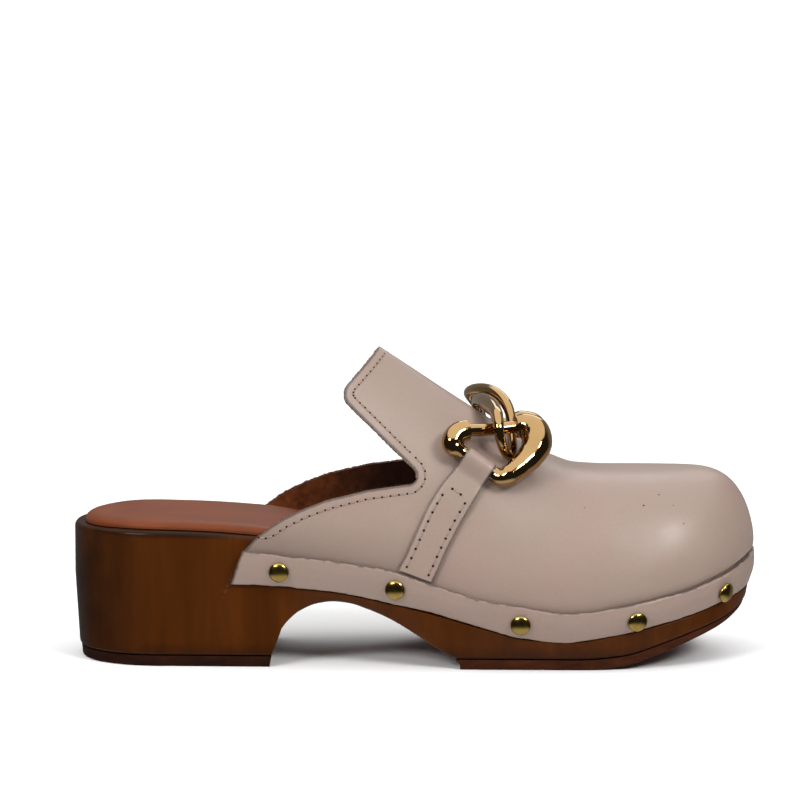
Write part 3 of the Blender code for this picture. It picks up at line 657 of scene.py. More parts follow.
def add_piece(name, mesh, materials):
    item = bpy.data.objects.new(name, mesh)
    bpy.context.scene.collection.objects.link(item)
    for material in materials:
        mesh.materials.append(material)
    return item


def dress(item, slot, *nodes):
    """Seats a finished piece on the body, in place of its solids."""
    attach(item, "root")
    if nodes:
        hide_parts(*nodes)
    return item


def softened(corners, steps=CORNER_STEPS):
    """Line of offsets and heights with each inner corner eased over its own radius."""
    points = [Vector(corners[0][:2])]
    for before, corner, after in zip(corners, corners[1:], corners[2:]):
        here = Vector(corner[:2])
        start = Vector(before[:2]) - here
        end = Vector(after[:2]) - here
        start *= min(corner[2] / max(start.length, 1e-6), 0.5)
        end *= min(corner[2] / max(end.length, 1e-6), 0.5)
        for step in range(steps + 1):
            t = step / steps
            points.append(here + start * (1 - t) ** 2 + end * t * t)
    points.append(Vector(corners[-1][:2]))
    return points


def ripple(place, scale, seed=0.0):
    """Smooth random value about zero at a place in millimetres."""
    return noise.noise(Vector(place) / scale + Vector((seed, 2.0 * seed, 3.0 * seed)))


# Sole

def wood_side(i, side):
    x = STATIONS[i].x
    top = footbed_top(x)
    bottom = wood_bottom(x)
    edge = bottom_offset(x)
    ledge = rebate_depth(x)
    ledge_z = max(rand_bottom(outer_x(i, side)) - GAP, bottom + LEDGE_LEAST)
    line = softened((
        (-WOOD_FLAT, top),
        (0.0, top, WOOD_RIM_ROUND),
        (0.0, ledge_z, 0.0),
        (ledge, ledge_z, WOOD_LEDGE_ROUND),
        (edge, bottom, WOOD_EDGE_ROUND),
        (edge - WOOD_FLAT, bottom),
    ))
    return [(*rim_offset(i, side, offset), z) for offset, z in line]


def add_loft(name, sections, material, slot, node, capped=(False, False)):
    return dress(add_piece(name, loft(name, sections, capped), [material]), slot, node)


def section(side_points, i, *values):
    """Ring at a station, down the lateral points and back up the medial points."""
    return side_points(i, LATERAL, *values) + side_points(i, MEDIAL, *values)[::-1]


def make_wood_sole():
    sections = [section(wood_side, i) for i in range(len(STATIONS))]
    add_loft("clog_wood", sections, wood_material(), "wood", "wood_sole")


def plate_side(i, side, top, bottom, shift=0.0):
    """A rubber plate's eased edge, its lower edge moved forward by a shift."""
    offset = bottom_offset(STATIONS[i].x) - TREAD_INSET
    line = softened((
        (offset - PLATE_FLAT, top),
        (offset, top, PLATE_ROUNDS[0]),
        (offset - PLATE_DRAFT, bottom, PLATE_ROUNDS[1]),
        (offset - PLATE_FLAT, bottom),
    ))
    points = []
    for out, z in line:
        place = rim_offset(i, side, out)
        points.append((place.x + shift * (top - z) / (top - bottom), place.y, z))
    return points


def make_plates():
    breast = station_at(ARCH[0].x)
    sections = []
    for i in range(breast + 1):
        shift = LIFT_END_BEVEL if i == breast else 0.0
        sections.append(section(plate_side, i, LIFT_THICKNESS, 0.0, shift))
    # The lift's rubber is the tread's, darkened as painted shade.
    rubber = rubber_material("lift_rubber", *LIFT_SHADED_TONES)
    add_loft("clog_heel_lift", sections, rubber, "rubber", "heel_lift", (False, True))
    start = station_at(TREAD[0].x)
    sections = []
    for i in range(start, len(STATIONS)):
        x = STATIONS[i].x
        bottom = tread_bottom(x)
        shift = TREAD_END_BEVEL if i == start else 0.0
        sections.append(section(plate_side, i, bottom + tread_thickness(x), bottom, shift))
    rubber = rubber_material("tread_rubber", *TREAD_TONES)
    add_loft("clog_tread", sections, rubber, "rubber", "forefoot_tread", (True, False))


def insole_side(i, side):
    x = STATIONS[i].x
    base = footbed_top(x) + GAP
    points = []
    for inset, rise in INSOLE_PROFILE:
        place = rim_offset(i, side, -INSOLE_INSET - inset)
        lift = INSOLE_WAVE * ripple((*place, 0.0), INSOLE_WAVE_LENGTH, 5.0) * min(inset / INSOLE_EASE, 1.0)
        points.append((*place, base + rise + lift))
    return points[::-1]


def make_insole():
    sections = [section(insole_side, i) for i in range(len(STATIONS))]
    item = add_loft("clog_insole", sections, insole_material(), "insole_leather", "insole")


# Upper

def waved(place, side):
    """A place on the upper moved by the slow unevenness of lasted leather."""
    spot = Vector(place)
    ease = smooth_step(min(abs(spot.y - ridge_y(spot.x)) / RIDGE_EASE, 1.0))
    return spot + Vector((0.0, side * 0.5 * ease, 0.5)) * UPPER_WAVE * ripple(spot, UPPER_WAVE_LENGTH, 1.0)


def collar_outline(side):
    """Collar line of a side; the medial corner of the tab is trimmed a little shorter."""
    corners = list(COLLAR)
    if side == MEDIAL:
        corner = corners[-2]
        corners[-2] = corner._replace(x=corner.x + TAB_TRIM[0], z=corner.z + TAB_TRIM[1])
    return rounded_outline(corners)


def walk(outline, step):
    """Close places along a line, each with its direction."""
    for a, b in zip(outline, outline[1:]):
        count = max(int((b - a).length / step), 1)
        way = (b - a).normalized()
        for k in range(count):
            yield a.lerp(b, k / count), way


def collar_cutter():
    """Prism behind and above the collar line."""
    bm = bmesh.new()
    back = ((COLLAR[-1].x, CUT_TOP_Z), (CUT_BACK_X, CUT_TOP_Z), (CUT_BACK_X, COLLAR[0].z))
    rows = []
    ys = (-CUT_HALF_WIDTH, 0.0, TAB_TRIM_BLEND, CUT_HALF_WIDTH)
    for y, side in zip(ys, (LATERAL, LATERAL, MEDIAL, MEDIAL)):
        rows.append(add_ring(bm, [(x, y, z) for x, z in (*collar_outline(side), *back)]))
    skin(bm, rows)
    bm.faces.new(rows[0])
    bm.faces.new(rows[-1])
    bmesh.ops.triangulate(bm, faces=bm.faces)
    bmesh.ops.recalc_face_normals(bm, faces=bm.faces)
    return mesh_of(bm, "collar_cut")


def frozen_mesh(item, name):
    """The evaluated mesh of an object, with the object itself removed."""
    bpy.context.view_layer.update()
    evaluated = item.evaluated_get(bpy.context.evaluated_depsgraph_get())
    mesh = bpy.data.meshes.new_from_object(evaluated)
    bpy.data.objects.remove(item, do_unlink=True)
    mesh.name = name
    return mesh


def collar_points(side):
    """The collar line on the outer face of the upper, at a close step."""
    spots = [spot for spot, _ in walk(collar_outline(side), COLLAR_STEP)]
    return [Vector((x, upper_y(x, z, side), z)) for x, z in spots if z < crown_ridge(x)]


def search_tree(places):
    tree = kdtree.KDTree(len(places))
    for k, place in enumerate(places):
        tree.insert(place, k)
    tree.balance()
    return tree


def mark_edge_distance(mesh, line):
    """Distance from a cut edge and height over the rand, in millimetres, for the finish."""
    tree = search_tree(line)
    edge = mesh.attributes.new("edge", "FLOAT", "POINT")
    height = mesh.attributes.new("height", "FLOAT", "POINT")
    for k, vertex in enumerate(mesh.vertices):
        edge.data[k].value = tree.find(vertex.co / MM)[2]
        height.data[k].value = vertex.co.z / MM - rand_top(vertex.co.x / MM)


def make_upper():
    bm = bmesh.new()
    rows = []
    for i in range(station_at(UPPER_REAR_X), len(STATIONS)):
        lateral, medial = ([waved(place, side) for place in upper_side(i, side)] for side, _ in SIDES)
        rows.append(add_ring(bm, lateral + medial[-2::-1]))
    for near, far in zip(rows, rows[1:]):
        for a in range(len(near) - 1):
            bm.faces.new((near[a], far[a], far[a + 1], near[a + 1]))
    bmesh.ops.remove_doubles(bm, verts=bm.verts, dist=WELD)
    # The upper gets painted shade low down along the rand.
    outer = leather_material("upper_leather", 1.0, shadowed=True)
    raw = raw_material("raw_edge", *RAW_TONES)
    shell = add_piece("upper_shell", smoothed(mesh_of(bm, "upper_shell")), [outer, lining_material(), raw])
    wall = shell.modifiers.new("wall", "SOLIDIFY")
    wall.thickness = UPPER_WALL * MM
    wall.offset = -1.0
    wall.use_even_offset = True
    wall.material_offset = 1
    wall.material_offset_rim = 2
    cutter = add_piece("collar_cut", collar_cutter(), [raw])
    cut = shell.modifiers.new("cut", "BOOLEAN")
    cut.operation = "DIFFERENCE"
    cut.solver = "EXACT"
    cut.material_mode = "TRANSFER"
    cut.object = cutter
    mesh = smoothed(frozen_mesh(shell, "clog_upper"))
    bpy.data.objects.remove(cutter, do_unlink=True)
    mark_edge_distance(mesh, collar_points(LATERAL) + collar_points(MEDIAL))
    dress(add_piece("clog_upper", mesh, []), "upper_leather", "upper")


# Rand and studs

def rand_profile(i, side):
    """Rounded section of the rand, as offsets from the rim and heights."""
    x = outer_x(i, side)
    top = rand_top(x)
    bottom = rand_bottom(x)
    inner = 2 * GAP + UPPER_WALL
    knee = top - RAND_OVERLAP
    start = (inner, top - RAND_LIP[0])
    end = (GAP, bottom + RAND_LIP[1])
    outer_line = softened((
        start,
        (inner, top, RAND_ROUNDS[0]),
        (inner + RAND_WALL, top, RAND_ROUNDS[1]),
        (inner + RAND_WALL, knee, RAND_ROUNDS[2]),
        (GAP + RAND_WALL, bottom, RAND_ROUNDS[3]),
        (GAP, bottom, RAND_ROUNDS[4]),
        end,
    ))
    return outer_line + softened((end, (inner, knee, RAND_ROUNDS[5]), start))[1:-1]


def rand_ring(i, side):
    ring = []
    x = outer_x(i, side)
    top = rand_top(x)
    bottom = rand_bottom(x)
    for offset, z in rand_profile(i, side):
        place = Vector((*rim_offset(i, side, offset), z))
        ring.append(fray_rand(place, (z - bottom) / (top - bottom), rim_normal(i, side), side))
    return ring


def fray_rand(place, height, outward, side):
    """Uneven cut edges, a soft roll along the middle, and leather drawn up under the studs."""
    up = max(height - RAND_HIGH, 0.0) / (1.0 - RAND_HIGH)
    low = max(RAND_LOW - height, 0.0) / RAND_LOW
    spot = Vector(place)
    spot.z += RAND_FRAY * (up * ripple(place, 1.9, 2.0) + 0.5 * low * ripple(place, 2.3, 3.0))
    spot.z += RAND_WAVE * (up + low) * ripple(place, 15.0, 4.0)
    roll = math.sin(math.pi * min(max(height, 0.0), 1.0))
    swell = RAND_PUFF * roll * (0.6 + 0.8 * ripple(place, 13.0, 6.0))
    for middle in STUD_PLACES[side]:
        swell += STUD_RISE * math.exp(-((spot - middle).length / STUD_RISE_REACH) ** 2)
    spot.x += outward.x * swell
    spot.y += outward.y * swell
    return spot


def rand_end_ring(side):
    """Slanted raw end: the top edge starts further forward than the bottom edge."""
    low = rand_ring(station_at(RAND_REAR_BOTTOM_X), side)
    high = rand_ring(station_at(RAND_REAR_TOP_X), side)
    floor = min(place.z for place in low)
    height = max(place.z for place in low) - floor
    ring = []
    for a, b in zip(low, high):
        place = a.lerp(b, min(max((a.z - floor) / height, 0.0), 1.0))
        place.x += 0.5 * ripple(place, 1.4, 8.0)
        ring.append(place)
    return ring


def highest(ring):
    return max(ring, key=lambda place: place.z)


def make_rand():
    first = station_at(RAND_REAR_TOP_X) + 1
    rings = [rand_end_ring(LATERAL)]
    rings += [rand_ring(i, LATERAL) for i in range(first, len(STATIONS))]
    rings += [rand_ring(i, MEDIAL) for i in range(first, LAST)][::-1]
    rings.append(rand_end_ring(MEDIAL))
    dense = []
    for near, far in zip(rings, rings[1:]):
        dense.append(near)
        dense.append([a.lerp(b, 0.5) for a, b in zip(near, far)])
    dense.append(rings[-1])
    mesh = loft("clog_rand", dense, capped=(True, True), sharp_angle=RAND_SHARP_ANGLE)
    mark_edge_distance(mesh, [highest(ring) for ring in dense] + rings[0] + rings[-1])
    # The rand's leather is the upper's, darkened as painted shade.
    item = add_piece("clog_rand", mesh, [leather_material("rand_leather", RAND_PAINTED_SHADE)])
    dress(item, "upper_leather", "rand")


def make_studs():
    material = brass_material()
    profile = []
    for k in range(STUD_RINGS + 1):
        angle = 0.5 * math.pi * k / STUD_RINGS
        dome = (STUD_HEIGHT - STUD_EDGE) * math.cos(angle)
        profile.append((STUD_RADIUS * math.sin(angle), STUD_EDGE + dome))
    profile += STUD_FOOT
    for side, word in SIDES:
        for number, x in enumerate(STUD_XS, 1):
            place, outward = rand_place(x, side)
            right, up, out = outward.to_track_quat("Z", "Y").to_matrix().transposed()
            base = place + outward * STUD_SEAT
            sections = [hoop(base + out * z, right * r, up * r, STUD_STEPS) for r, z in profile]
            label = f"{word}_{number}"
            add_loft(f"stud_head_{label}", sections, material, "stud_brass", f"stud_{label}")


# Chain

def swept(name, points):
    """Closed tube along a line of places and radii; its sections turn with the line, free of any twist."""
    count = len(points)
    ways = [(points[(k + 1) % count][0] - points[k - 1][0]).normalized() for k in range(count)]
    side = ways[0].orthogonal().normalized()
    sides = [side]
    for k in range(1, count + 1):
        side = ways[k - 1].rotation_difference(ways[k % count]) @ side
        sides.append(side)
    turn = sides[0].cross(sides[count]).dot(ways[0])
    twist = math.atan2(turn, sides[0].dot(sides[count]))
    sections = []
    for k, (place, radius) in enumerate(points):
        across = Matrix.Rotation(-twist * k / count, 3, ways[k]) @ sides[k]
        sections.append(hoop(place, across * radius, ways[k].cross(across) * radius, WIRE_STEPS))
    sections.append(sections[0])
    return loft(name, sections, sharp_angle=WIRE_SHARP_ANGLE)


def make_chain():
    material = gold_material()
    links = [(word, outer_link(side)) for side, word in SIDES]
    for word, bends in (*links, ("middle", RING)):
        item = add_piece(f"link_{word}", swept(f"link_{word}", closed_line(bends)), [material])
        dress(item, "chain_metal", f"chain_link_{word}")


# Straps

def strap_row(side, t):
    """One row across a strap between the rand and its top, by its share of the way up."""
    rows = (*STRAP, STRAP_TOP[side])
    place = min(max(t, 0.0), 1.0) * (len(rows) - 1)
    k = min(int(place), len(rows) - 2)
    f = place - k
    before, a, b, after = (np.array(rows[min(max(n, 0), len(rows) - 1)]) for n in (k - 1, k, k + 1, k + 2))
    curve = 2 * a + (b - before) * f + (2 * before - 5 * a + 4 * b - after) * f * f
    return Strap(*(0.5 * (curve + (3 * a - before - 3 * b + after) * f ** 3)))


def strap_line(side, share):
    """Middle of the folded strip: up the outer layer, round the bar and down the inner layer."""
    bar, direction, normal = lower_bar(side)
    across = direction.cross(normal) * side
    hold = bar + direction * STRAP_FOLD_HALF * (2 * share - 1)
    layer = 0.25 * STRAP_WALL
    steps = [k / STRAP_STEPS for k in range(STRAP_STEPS + 1)]
    outer, inner = ([strap_spot(side, t, share, lift)[0] for t in steps] for lift in (3 * layer, layer))
    fold = []
    for step in range(FOLD_STEPS + 1):
        angle = math.pi * (0.5 - step / FOLD_STEPS)
        fold.append(hold + (normal * math.sin(angle) + across * math.cos(angle)) * FOLD_RADIUS)
    rise = bridge(outer[-2], outer[-1], fold[0], fold[1])
    fall = bridge(inner[-2], inner[-1], fold[-1], fold[-2])
    return outer + rise + fold + fall[::-1] + inner[::-1]


def bridge(before, start, end, after):
    """Smooth run between two ends that keeps their directions; the ends themselves are left out."""
    span = (end - start).length
    lead = (start - before).normalized() * span
    land = (after - end).normalized() * span
    points = []
    for step in range(1, BRIDGE_STEPS):
        t = step / BRIDGE_STEPS
        points.append(
            start * (1 + 2 * t) * (1 - t) ** 2
            + lead * t * (1 - t) ** 2
            + end * t * t * (3 - 2 * t)
            - land * t * t * (1 - t)
        )
    return points


def make_straps():
    material = leather_material("strap_leather", STRAP_SHADE)
    half = 0.25 * STRAP_WALL * STRAP_LAYER_SHARE
    for side, word in SIDES:
        lines = [strap_line(side, k / STRAP_ACROSS) for k in range(STRAP_ACROSS + 1)]
        last = len(lines[0]) - 1
        sections = []
        for k, row in enumerate(zip(*lines)):
            out = []
            back = []
            for n, place in enumerate(row):
                along = (lines[n][min(k + 1, last)] - lines[n][max(k - 1, 0)]).normalized()
                across = (row[min(n + 1, len(row) - 1)] - row[max(n - 1, 0)]).normalized()
                normal = across.cross(along).normalized() * side
                edge = min(n, len(row) - 1 - n)
                thick = half * STRAP_EDGE_EASE[min(edge, len(STRAP_EDGE_EASE) - 1)]
                out.append(place + normal * thick)
                back.append(place - normal * thick)
            sections.append(out + back[::-1])
        name = f"clog_strap_{word}"
        mesh = loft(name, sections, capped=(True, True), sharp_angle=STRAP_SHARP_ANGLE)
        mark_edge_distance(mesh, lines[0] + lines[-1])
        dress(add_piece(name, mesh, [material]), "upper_leather", f"strap_{word}")


# Stitches

def even_spots(line, pitch):
    """Places and ways out at an even pitch along a line of both."""
    spots = []
    travelled = 0.0
    due = 0.5 * pitch
    for (a, out), (b, _) in zip(line, line[1:]):
        length = (b - a).length
        while travelled + length >= due:
            spots.append((a.lerp(b, (due - travelled) / length), out))
            due += pitch
        travelled += length
    return spots


def add_tube(bm, rings, material=0):
    """Short closed tube through rings of places."""
    made = [add_ring(bm, places) for places in rings]
    for face in [bm.faces.new(made[0][::-1]), bm.faces.new(made[-1])] + skin(bm, made):
        face.material_index = material
        face.smooth = True


def add_thread(bm, start, end, out, radius):
    """One stitch from hole to hole, arched a little over the leather."""
    across = (end - start).normalized().cross(out).normalized()
    rings = []
    for step in range(THREAD_RINGS + 1):
        share = step / THREAD_RINGS
        wide = radius * math.sqrt(1.0 - 0.9 * abs(2.0 * share - 1.0) ** 5)
        middle = start.lerp(end, share) + out * radius * (1.2 * math.sin(math.pi * share) - 0.6)
        rings.append(hoop(middle, across * wide, out * wide, THREAD_STEPS))
    add_tube(bm, rings)


def add_pit(bm, place, out, radius, material=1):
    """Needle hole, drawn as a small dark cup between two stitches; its dark is painted shade of the hole.
    """
    across = out.orthogonal().normalized() * radius
    over = out.cross(across)
    rings = []
    for reach, rise in PIT_PROFILE:
        rings.append(hoop(place + out * rise, across * reach, over * reach, THREAD_STEPS))
    add_tube(bm, rings, material)


def sew(bm, line, row):
    """A row of stitches with a hole at each end of every stitch."""
    spots = even_spots(line, row.pitch)
    for place, out in spots:
        add_pit(bm, place, out, row.hole)
    for (a, out), (b, _) in zip(spots, spots[1:]):
        if (b - a).length < 1.5 * row.pitch:
            trim = 0.7 * row.hole / (b - a).length
            add_thread(bm, a.lerp(b, trim), a.lerp(b, 1.0 - trim), out, row.thread)


def on_upper(x, z, side):
    """Place on the dressed upper at a height seen from the side, and the way out there."""
    place, normal = upper_frame(x, upper_y(x, z, side))
    return waved(place, side), normal


def collar_row(side, inset, first, last):
    """Line on the upper at a distance inside the collar, for a run of the collar's length."""
    dense = list(walk(collar_outline(side), COLLAR_STEP))
    tree = search_tree([(*spot, 0.0) for spot, _ in dense])
    line = []
    travelled = 0.0
    for k, (spot, way) in enumerate(dense):
        travelled += (spot - dense[max(k - 1, 0)][0]).length
        x, z = spot + Vector((way.y, -way.x)) * inset
        clear = tree.find((x, z, 0.0))[2] > inset - 0.1
        low = max(rand_top(x), COLLAR[0].z)
        if first <= travelled <= last and clear and low < z < crown_ridge(x) - RIDGE_CLEAR:
            line.append(on_upper(x, z, side))
    return line


def on_leather(spot):
    """Nearest place on the dressed upper, and the way out there."""
    _, place, out, _ = bpy.data.objects["clog_upper"].closest_point_on_mesh(spot * MM)
    return place / MM, out


def ridge_row():
    """Line over the ridge from the end of one side's tab row to the other's."""
    start, end = (collar_row(side, *TAB_RUN)[-1][0] for side, _ in SIDES)
    return [on_leather(start.lerp(end, k / SEAM_STEPS) + RIDGE_LIFT) for k in range(SEAM_STEPS + 1)]


def strap_spot(side, t, share, lift=STRAP_FACE):
    """Place in a strap at a height over the upper, and the way out there."""
    row = strap_row(side, t)
    x = row.rear_x + (row.front_x - row.rear_x) * share
    z = row.rear_z + (row.front_z - row.rear_z) * share
    place, normal = on_upper(x, z, side)
    seat = STRAP_SEAT * (1.0 - smooth_step((t - STRAP_SEAT_END) / (1.0 - STRAP_SEAT_END)))
    return place + normal * (STRAP_GAP + row.lift + lift - seat), normal


def strap_seam(side, share):
    return [strap_spot(side, STRAP_SEAM_TOP * k / SEAM_STEPS, share) for k in range(1, SEAM_STEPS + 1)]


def seams(side):
    """Names, lines and rows of the seams on a side, each with its thread."""
    share = STRAP_SEAM_SHARE
    top = STRAP_SEAM_TOP + CROSS_RISE
    cross = [strap_spot(side, top, share + k * CROSS_STEP) for k in range(CROSS_STEPS + 1)]
    tab = [collar_row(side, *TAB_RUN)]
    if side == LATERAL:
        tab.append(ridge_row())
    return (
        ("quarter", [collar_row(side, *QUARTER_RUN)], QUARTER_ROW, "pale"),
        ("tab", tab, TAB_ROW, "brown"),
        ("strap", [strap_seam(side, share), strap_seam(side, 1.0 - share), cross], STRAP_ROW, "pale"),
    )


def add_detail(name, bm, materials):
    """Small detail that lies on the leather."""
    bmesh.ops.recalc_face_normals(bm, faces=bm.faces)
    dress(add_piece(name, mesh_of(bm, name), materials), "upper_leather")


def make_stitches():
    threads = {word: thread_material(f"{word}_thread", tone) for word, tone in THREADS.items()}
    # Needle holes are dark cups of painted shade.
    pit = pit_shade_material()
    for side, word in SIDES:
        for seam, lines, row, thread in seams(side):
            bm = bmesh.new()
            for line in lines:
                sew(bm, line, row)
            add_detail(f"stitch_{seam}_{word}", bm, [threads[thread], pit])


# Raw lip of the cut edge

def raw_rings(side):
    """Rings of the ragged lip along the cut edge of the upper, a little proud of it."""
    rings = []
    for (x, z), way in walk(collar_outline(side), LIP_STEP):
        if LIP_LOW[side] <= z <= crown_ridge(x) - LIP_CLEAR:
            place, normal = on_upper(x, z, side)
            out = Vector((-way.y, 0.0, way.x)) * (LIP_REACH + LIP_RAGGED * ripple(place, LIP_RIPPLE))
            rings.append(hoop(place - normal * LIP_DEPTH, normal * LIP_HALF, out, THREAD_STEPS))
    return rings


def make_lips():
    for side, word in SIDES:
        name = f"raw_lip_{word}"
        bm = bmesh.new()
        add_tube(bm, raw_rings(side))
        add_detail(name, bm, [raw_material(name, *LIP_TONES[side])])


# Loose fibres and small scars

def add_fibre(bm, root, way, longest, draw):
    """One tapered fibre that leans and bends at random."""
    length = longest * draw.uniform(0.25, 1.0)
    lean = Vector((draw.uniform(-1.0, 1.0), draw.uniform(-1.0, 1.0), draw.uniform(-1.0, 1.0)))
    tip = root + (way + FUZZ_LEAN * lean).normalized() * length
    middle = root.lerp(tip, 0.5) + lean.cross(way) * FUZZ_BEND * length
    radius = draw.uniform(*FUZZ_RADIUS)
    across = way.orthogonal().normalized() * radius
    over = way.cross(across)
    rings = []
    for place, share in zip((root, middle, tip), FUZZ_TAPER):
        rings.append(hoop(place, across * share, over * share, FUZZ_STEPS))
    add_tube(bm, rings)


def fray(bm, line, fuzz, draw):
    """Fibres along a line of root places and ways out."""
    for root, way in line:
        if draw.random() < fuzz.share:
            add_fibre(bm, root, way, fuzz.longest, draw)


def collar_edge(side, draw):
    """Roots over the thickness of the cut edge, with the way out of the leather."""
    points = collar_points(side)
    line = []
    for a, b in zip(points, points[1:]):
        way = Vector((a.z - b.z, 0.0, b.x - a.x))
        if way.length > 0.0:
            depth = Vector((0.0, -side * UPPER_WALL * draw.random(), 0.0))
            line.append((waved(a, side) + depth, way.normalized()))
    return line


def strap_edge(side, share):
    """Roots along one edge of a strap."""
    line = []
    for k in range(STRAP_ROOTS):
        place, normal = strap_spot(side, k / STRAP_ROOTS, share)
        inner = strap_spot(side, k / STRAP_ROOTS, 0.5)[0]
        line.append((place - normal * 0.3, ((place - inner).normalized() + 0.6 * normal).normalized()))
    return line


def rand_edge(side):
    """Roots along the top edge of the rand and round its raw end."""
    first = station_at(RAND_REAR_TOP_X) + 1
    line = [(highest(rand_ring(i, side)), Vector((0.0, 0.0, 1.0))) for i in range(first, LAST)]
    ends = rand_end_ring(side)
    for a, b in zip(ends, ends[1:]):
        for k in range(RAND_END_ROOTS):
            line.append((a.lerp(b, k / RAND_END_ROOTS), Vector((-1.0, 0.0, 0.0))))
    return line


def make_fibres():
    draw = random.Random(FUZZ_SEED)
    material = fibre_material()
    for side, word in SIDES:
        bm = bmesh.new()
        fray(bm, collar_edge(side, draw), COLLAR_FUZZ[side], draw)
        for share in (0.0, 1.0):
            fray(bm, strap_edge(side, share), STRAP_FUZZ, draw)
        fray(bm, rand_edge(side), RAND_FUZZ, draw)
        add_detail(f"fibres_{word}", bm, [material])


def make_scars():
    """A few pinpricks in the grain of the vamp, by their distance below its ridge, each a dark cup of
    painted shade.
    """
    bm = bmesh.new()
    for x, below, radius in SCARS:
        place, out = on_leather(on_upper(x, crown_ridge(x) - below, LATERAL)[0])
        add_pit(bm, place, out, radius, 0)
    add_detail("vamp_scars", bm, [pit_shade_material()])


# Finishes

def srgb(red, green, blue):
    """Linear colour from display values out of 255."""
    values = []
    for value in (red, green, blue):
        share = value / 255.0
        values.append(share / 12.92 if share <= 0.04045 else ((share + 0.055) / 1.055) ** 2.4)
    return (*values, 1.0)


class Finish:
    """A material, its shader and short calls for the texture nodes that feed it."""

    def __init__(self, name, **values):
        self.material = bpy.data.materials.new(name)
        self.material.use_nodes = True
        self.tree = self.material.node_tree
        self.shader = self.tree.nodes["Principled BSDF"]
        self.place = self.node("ShaderNodeTexCoord").outputs["Object"]
        self.done(**values)

    def done(self, **values):
        self.fill(self.shader, values)
        return self.material

    def fill(self, node, values):
        for name, value in values.items():
            socket = node.inputs[name.replace("_", " ")] if isinstance(name, str) else node.inputs[name]
            if isinstance(value, bpy.types.NodeSocket):
                self.tree.links.new(value, socket)
            else:
                socket.default_value = value

    def node(self, kind, inputs=None, **settings):
        node = self.tree.nodes.new(kind)
        for name, value in settings.items():
            setattr(node, name, value)
        self.fill(node, inputs or {})
        return node

    def noise(self, x, y, z, detail=3.0, roughness=0.55):
        """Noise by the number of waves in a metre along each axis."""
        vector = self.node("ShaderNodeMapping", {"Vector": self.place, "Scale": (x, y, z)}).outputs[0]
        inputs = {"Vector": vector, "Scale": 1.0, "Detail": detail, "Roughness": roughness}
        return self.node("ShaderNodeTexNoise", inputs).outputs["Fac"]

    def grain(self, waves, detail=3.0):
        return self.noise(waves, waves, waves, detail)

    def axis(self, letter):
        return self.node("ShaderNodeSeparateXYZ", {0: self.place}).outputs[letter]

    def attribute(self, name):
        return self.node("ShaderNodeAttribute", attribute_name=name).outputs["Fac"]

    def ramp(self, factor, *stops):
        node = self.node("ShaderNodeValToRGB", {"Fac": factor})
        elements = node.color_ramp.elements
        while len(elements) < len(stops):
            elements.new(1.0)
        for element, (position, colour) in zip(elements, stops):
            element.position = position
            element.color = colour
        return node.outputs["Color"]

    def levels(self, factor, low, high, to_low, to_high):
        inputs = {"Value": factor, "From Min": low, "From Max": high, "To Min": to_low, "To Max": to_high}
        return self.node("ShaderNodeMapRange", inputs).outputs["Result"]

    def combine(self, operation, first, second):
        return self.node("ShaderNodeMath", {0: first, 1: second}, operation=operation).outputs[0]

    def mix(self, factor, first, second):
        inputs = {0: factor, 6: first, 7: second}
        return self.node("ShaderNodeMix", inputs, data_type="RGBA").outputs[2]

    def bump(self, height, strength, distance, before=None):
        inputs = {"Height": height, "Strength": strength, "Distance": distance * MM}
        if before is not None:
            inputs["Normal"] = before
        return self.node("ShaderNodeBump", inputs).outputs["Normal"]


def grey(value):
    return (value, value, value, 1.0)


def leather_material(name, shade, shadowed=False):
    """Smooth dyed leather, darker at its cut edges; the upper also gets painted shade low down by the rand,
    stronger toward the rear.
    """
    tones = (LEATHER_GREEN, LEATHER_MAUVE, LEATHER_DARK, LEATHER_EDGE)
    green, mauve, dark, raw = ((*(shade * value for value in tone), 1.0) for tone in tones)
    finish = Finish(name, Specular_IOR_Level=0.4, Coat_Weight=0.06, Coat_Roughness=0.28)
    tone = finish.ramp(finish.grain(28, 2.0), (0.3, green), (0.7, mauve))
    tone = finish.mix(finish.levels(finish.grain(900), 0.35, 0.65, 0.0, 0.10), tone, dark)
    # Painted shade: the upper darkened just above the rand's top edge, more toward the rear.
    if shadowed:
        painted_shade = finish.levels(finish.attribute("height"), 0.0, SHADE_HEIGHT, 0.75, 0.0)
        rear = finish.levels(finish.axis("X"), *SHADE_REAR_SPAN, 1.0, 0.3)
        tone = finish.mix(finish.combine("MULTIPLY", painted_shade, rear), tone, dark)
    reach = finish.levels(finish.grain(700, 2.0), 0.3, 0.7, 0.7, 0.95)
    near = finish.combine("DIVIDE", finish.attribute("edge"), reach)
    tone = finish.mix(finish.levels(near, 0.4, 1.0, 0.8, 0.0), tone, raw)
    cells = finish.node("ShaderNodeTexVoronoi", {"Vector": finish.place, "Scale": 1300.0})
    pores = finish.bump(cells.outputs["Distance"], 0.10, 0.10)
    normal = finish.bump(finish.grain(160, 4.0), 0.10, 0.5, pores)
    rough = finish.levels(finish.grain(60), 0.3, 0.7, 0.36, 0.48)
    return finish.done(Base_Color=tone, Roughness=rough, Normal=normal)


def lining_material():
    """Suede lining, with painted shade darkening it toward the toe."""
    finish = Finish("lining_suede", Roughness=0.85, Specular_IOR_Level=0.15)
    tone = finish.ramp(finish.grain(300, 5.0), (0.3, srgb(88, 42, 18)), (0.7, srgb(142, 76, 36)))
    # Painted shade: the lining darkens deep in the toe box.
    toe_shade = finish.levels(finish.axis("X"), *LINING_SHADE_SPAN, 0.0, 0.92)
    tone = finish.mix(toe_shade, tone, srgb(22, 10, 6))
    return finish.done(Base_Color=tone, Normal=finish.bump(finish.grain(900, 4.0), 0.5, 0.3))


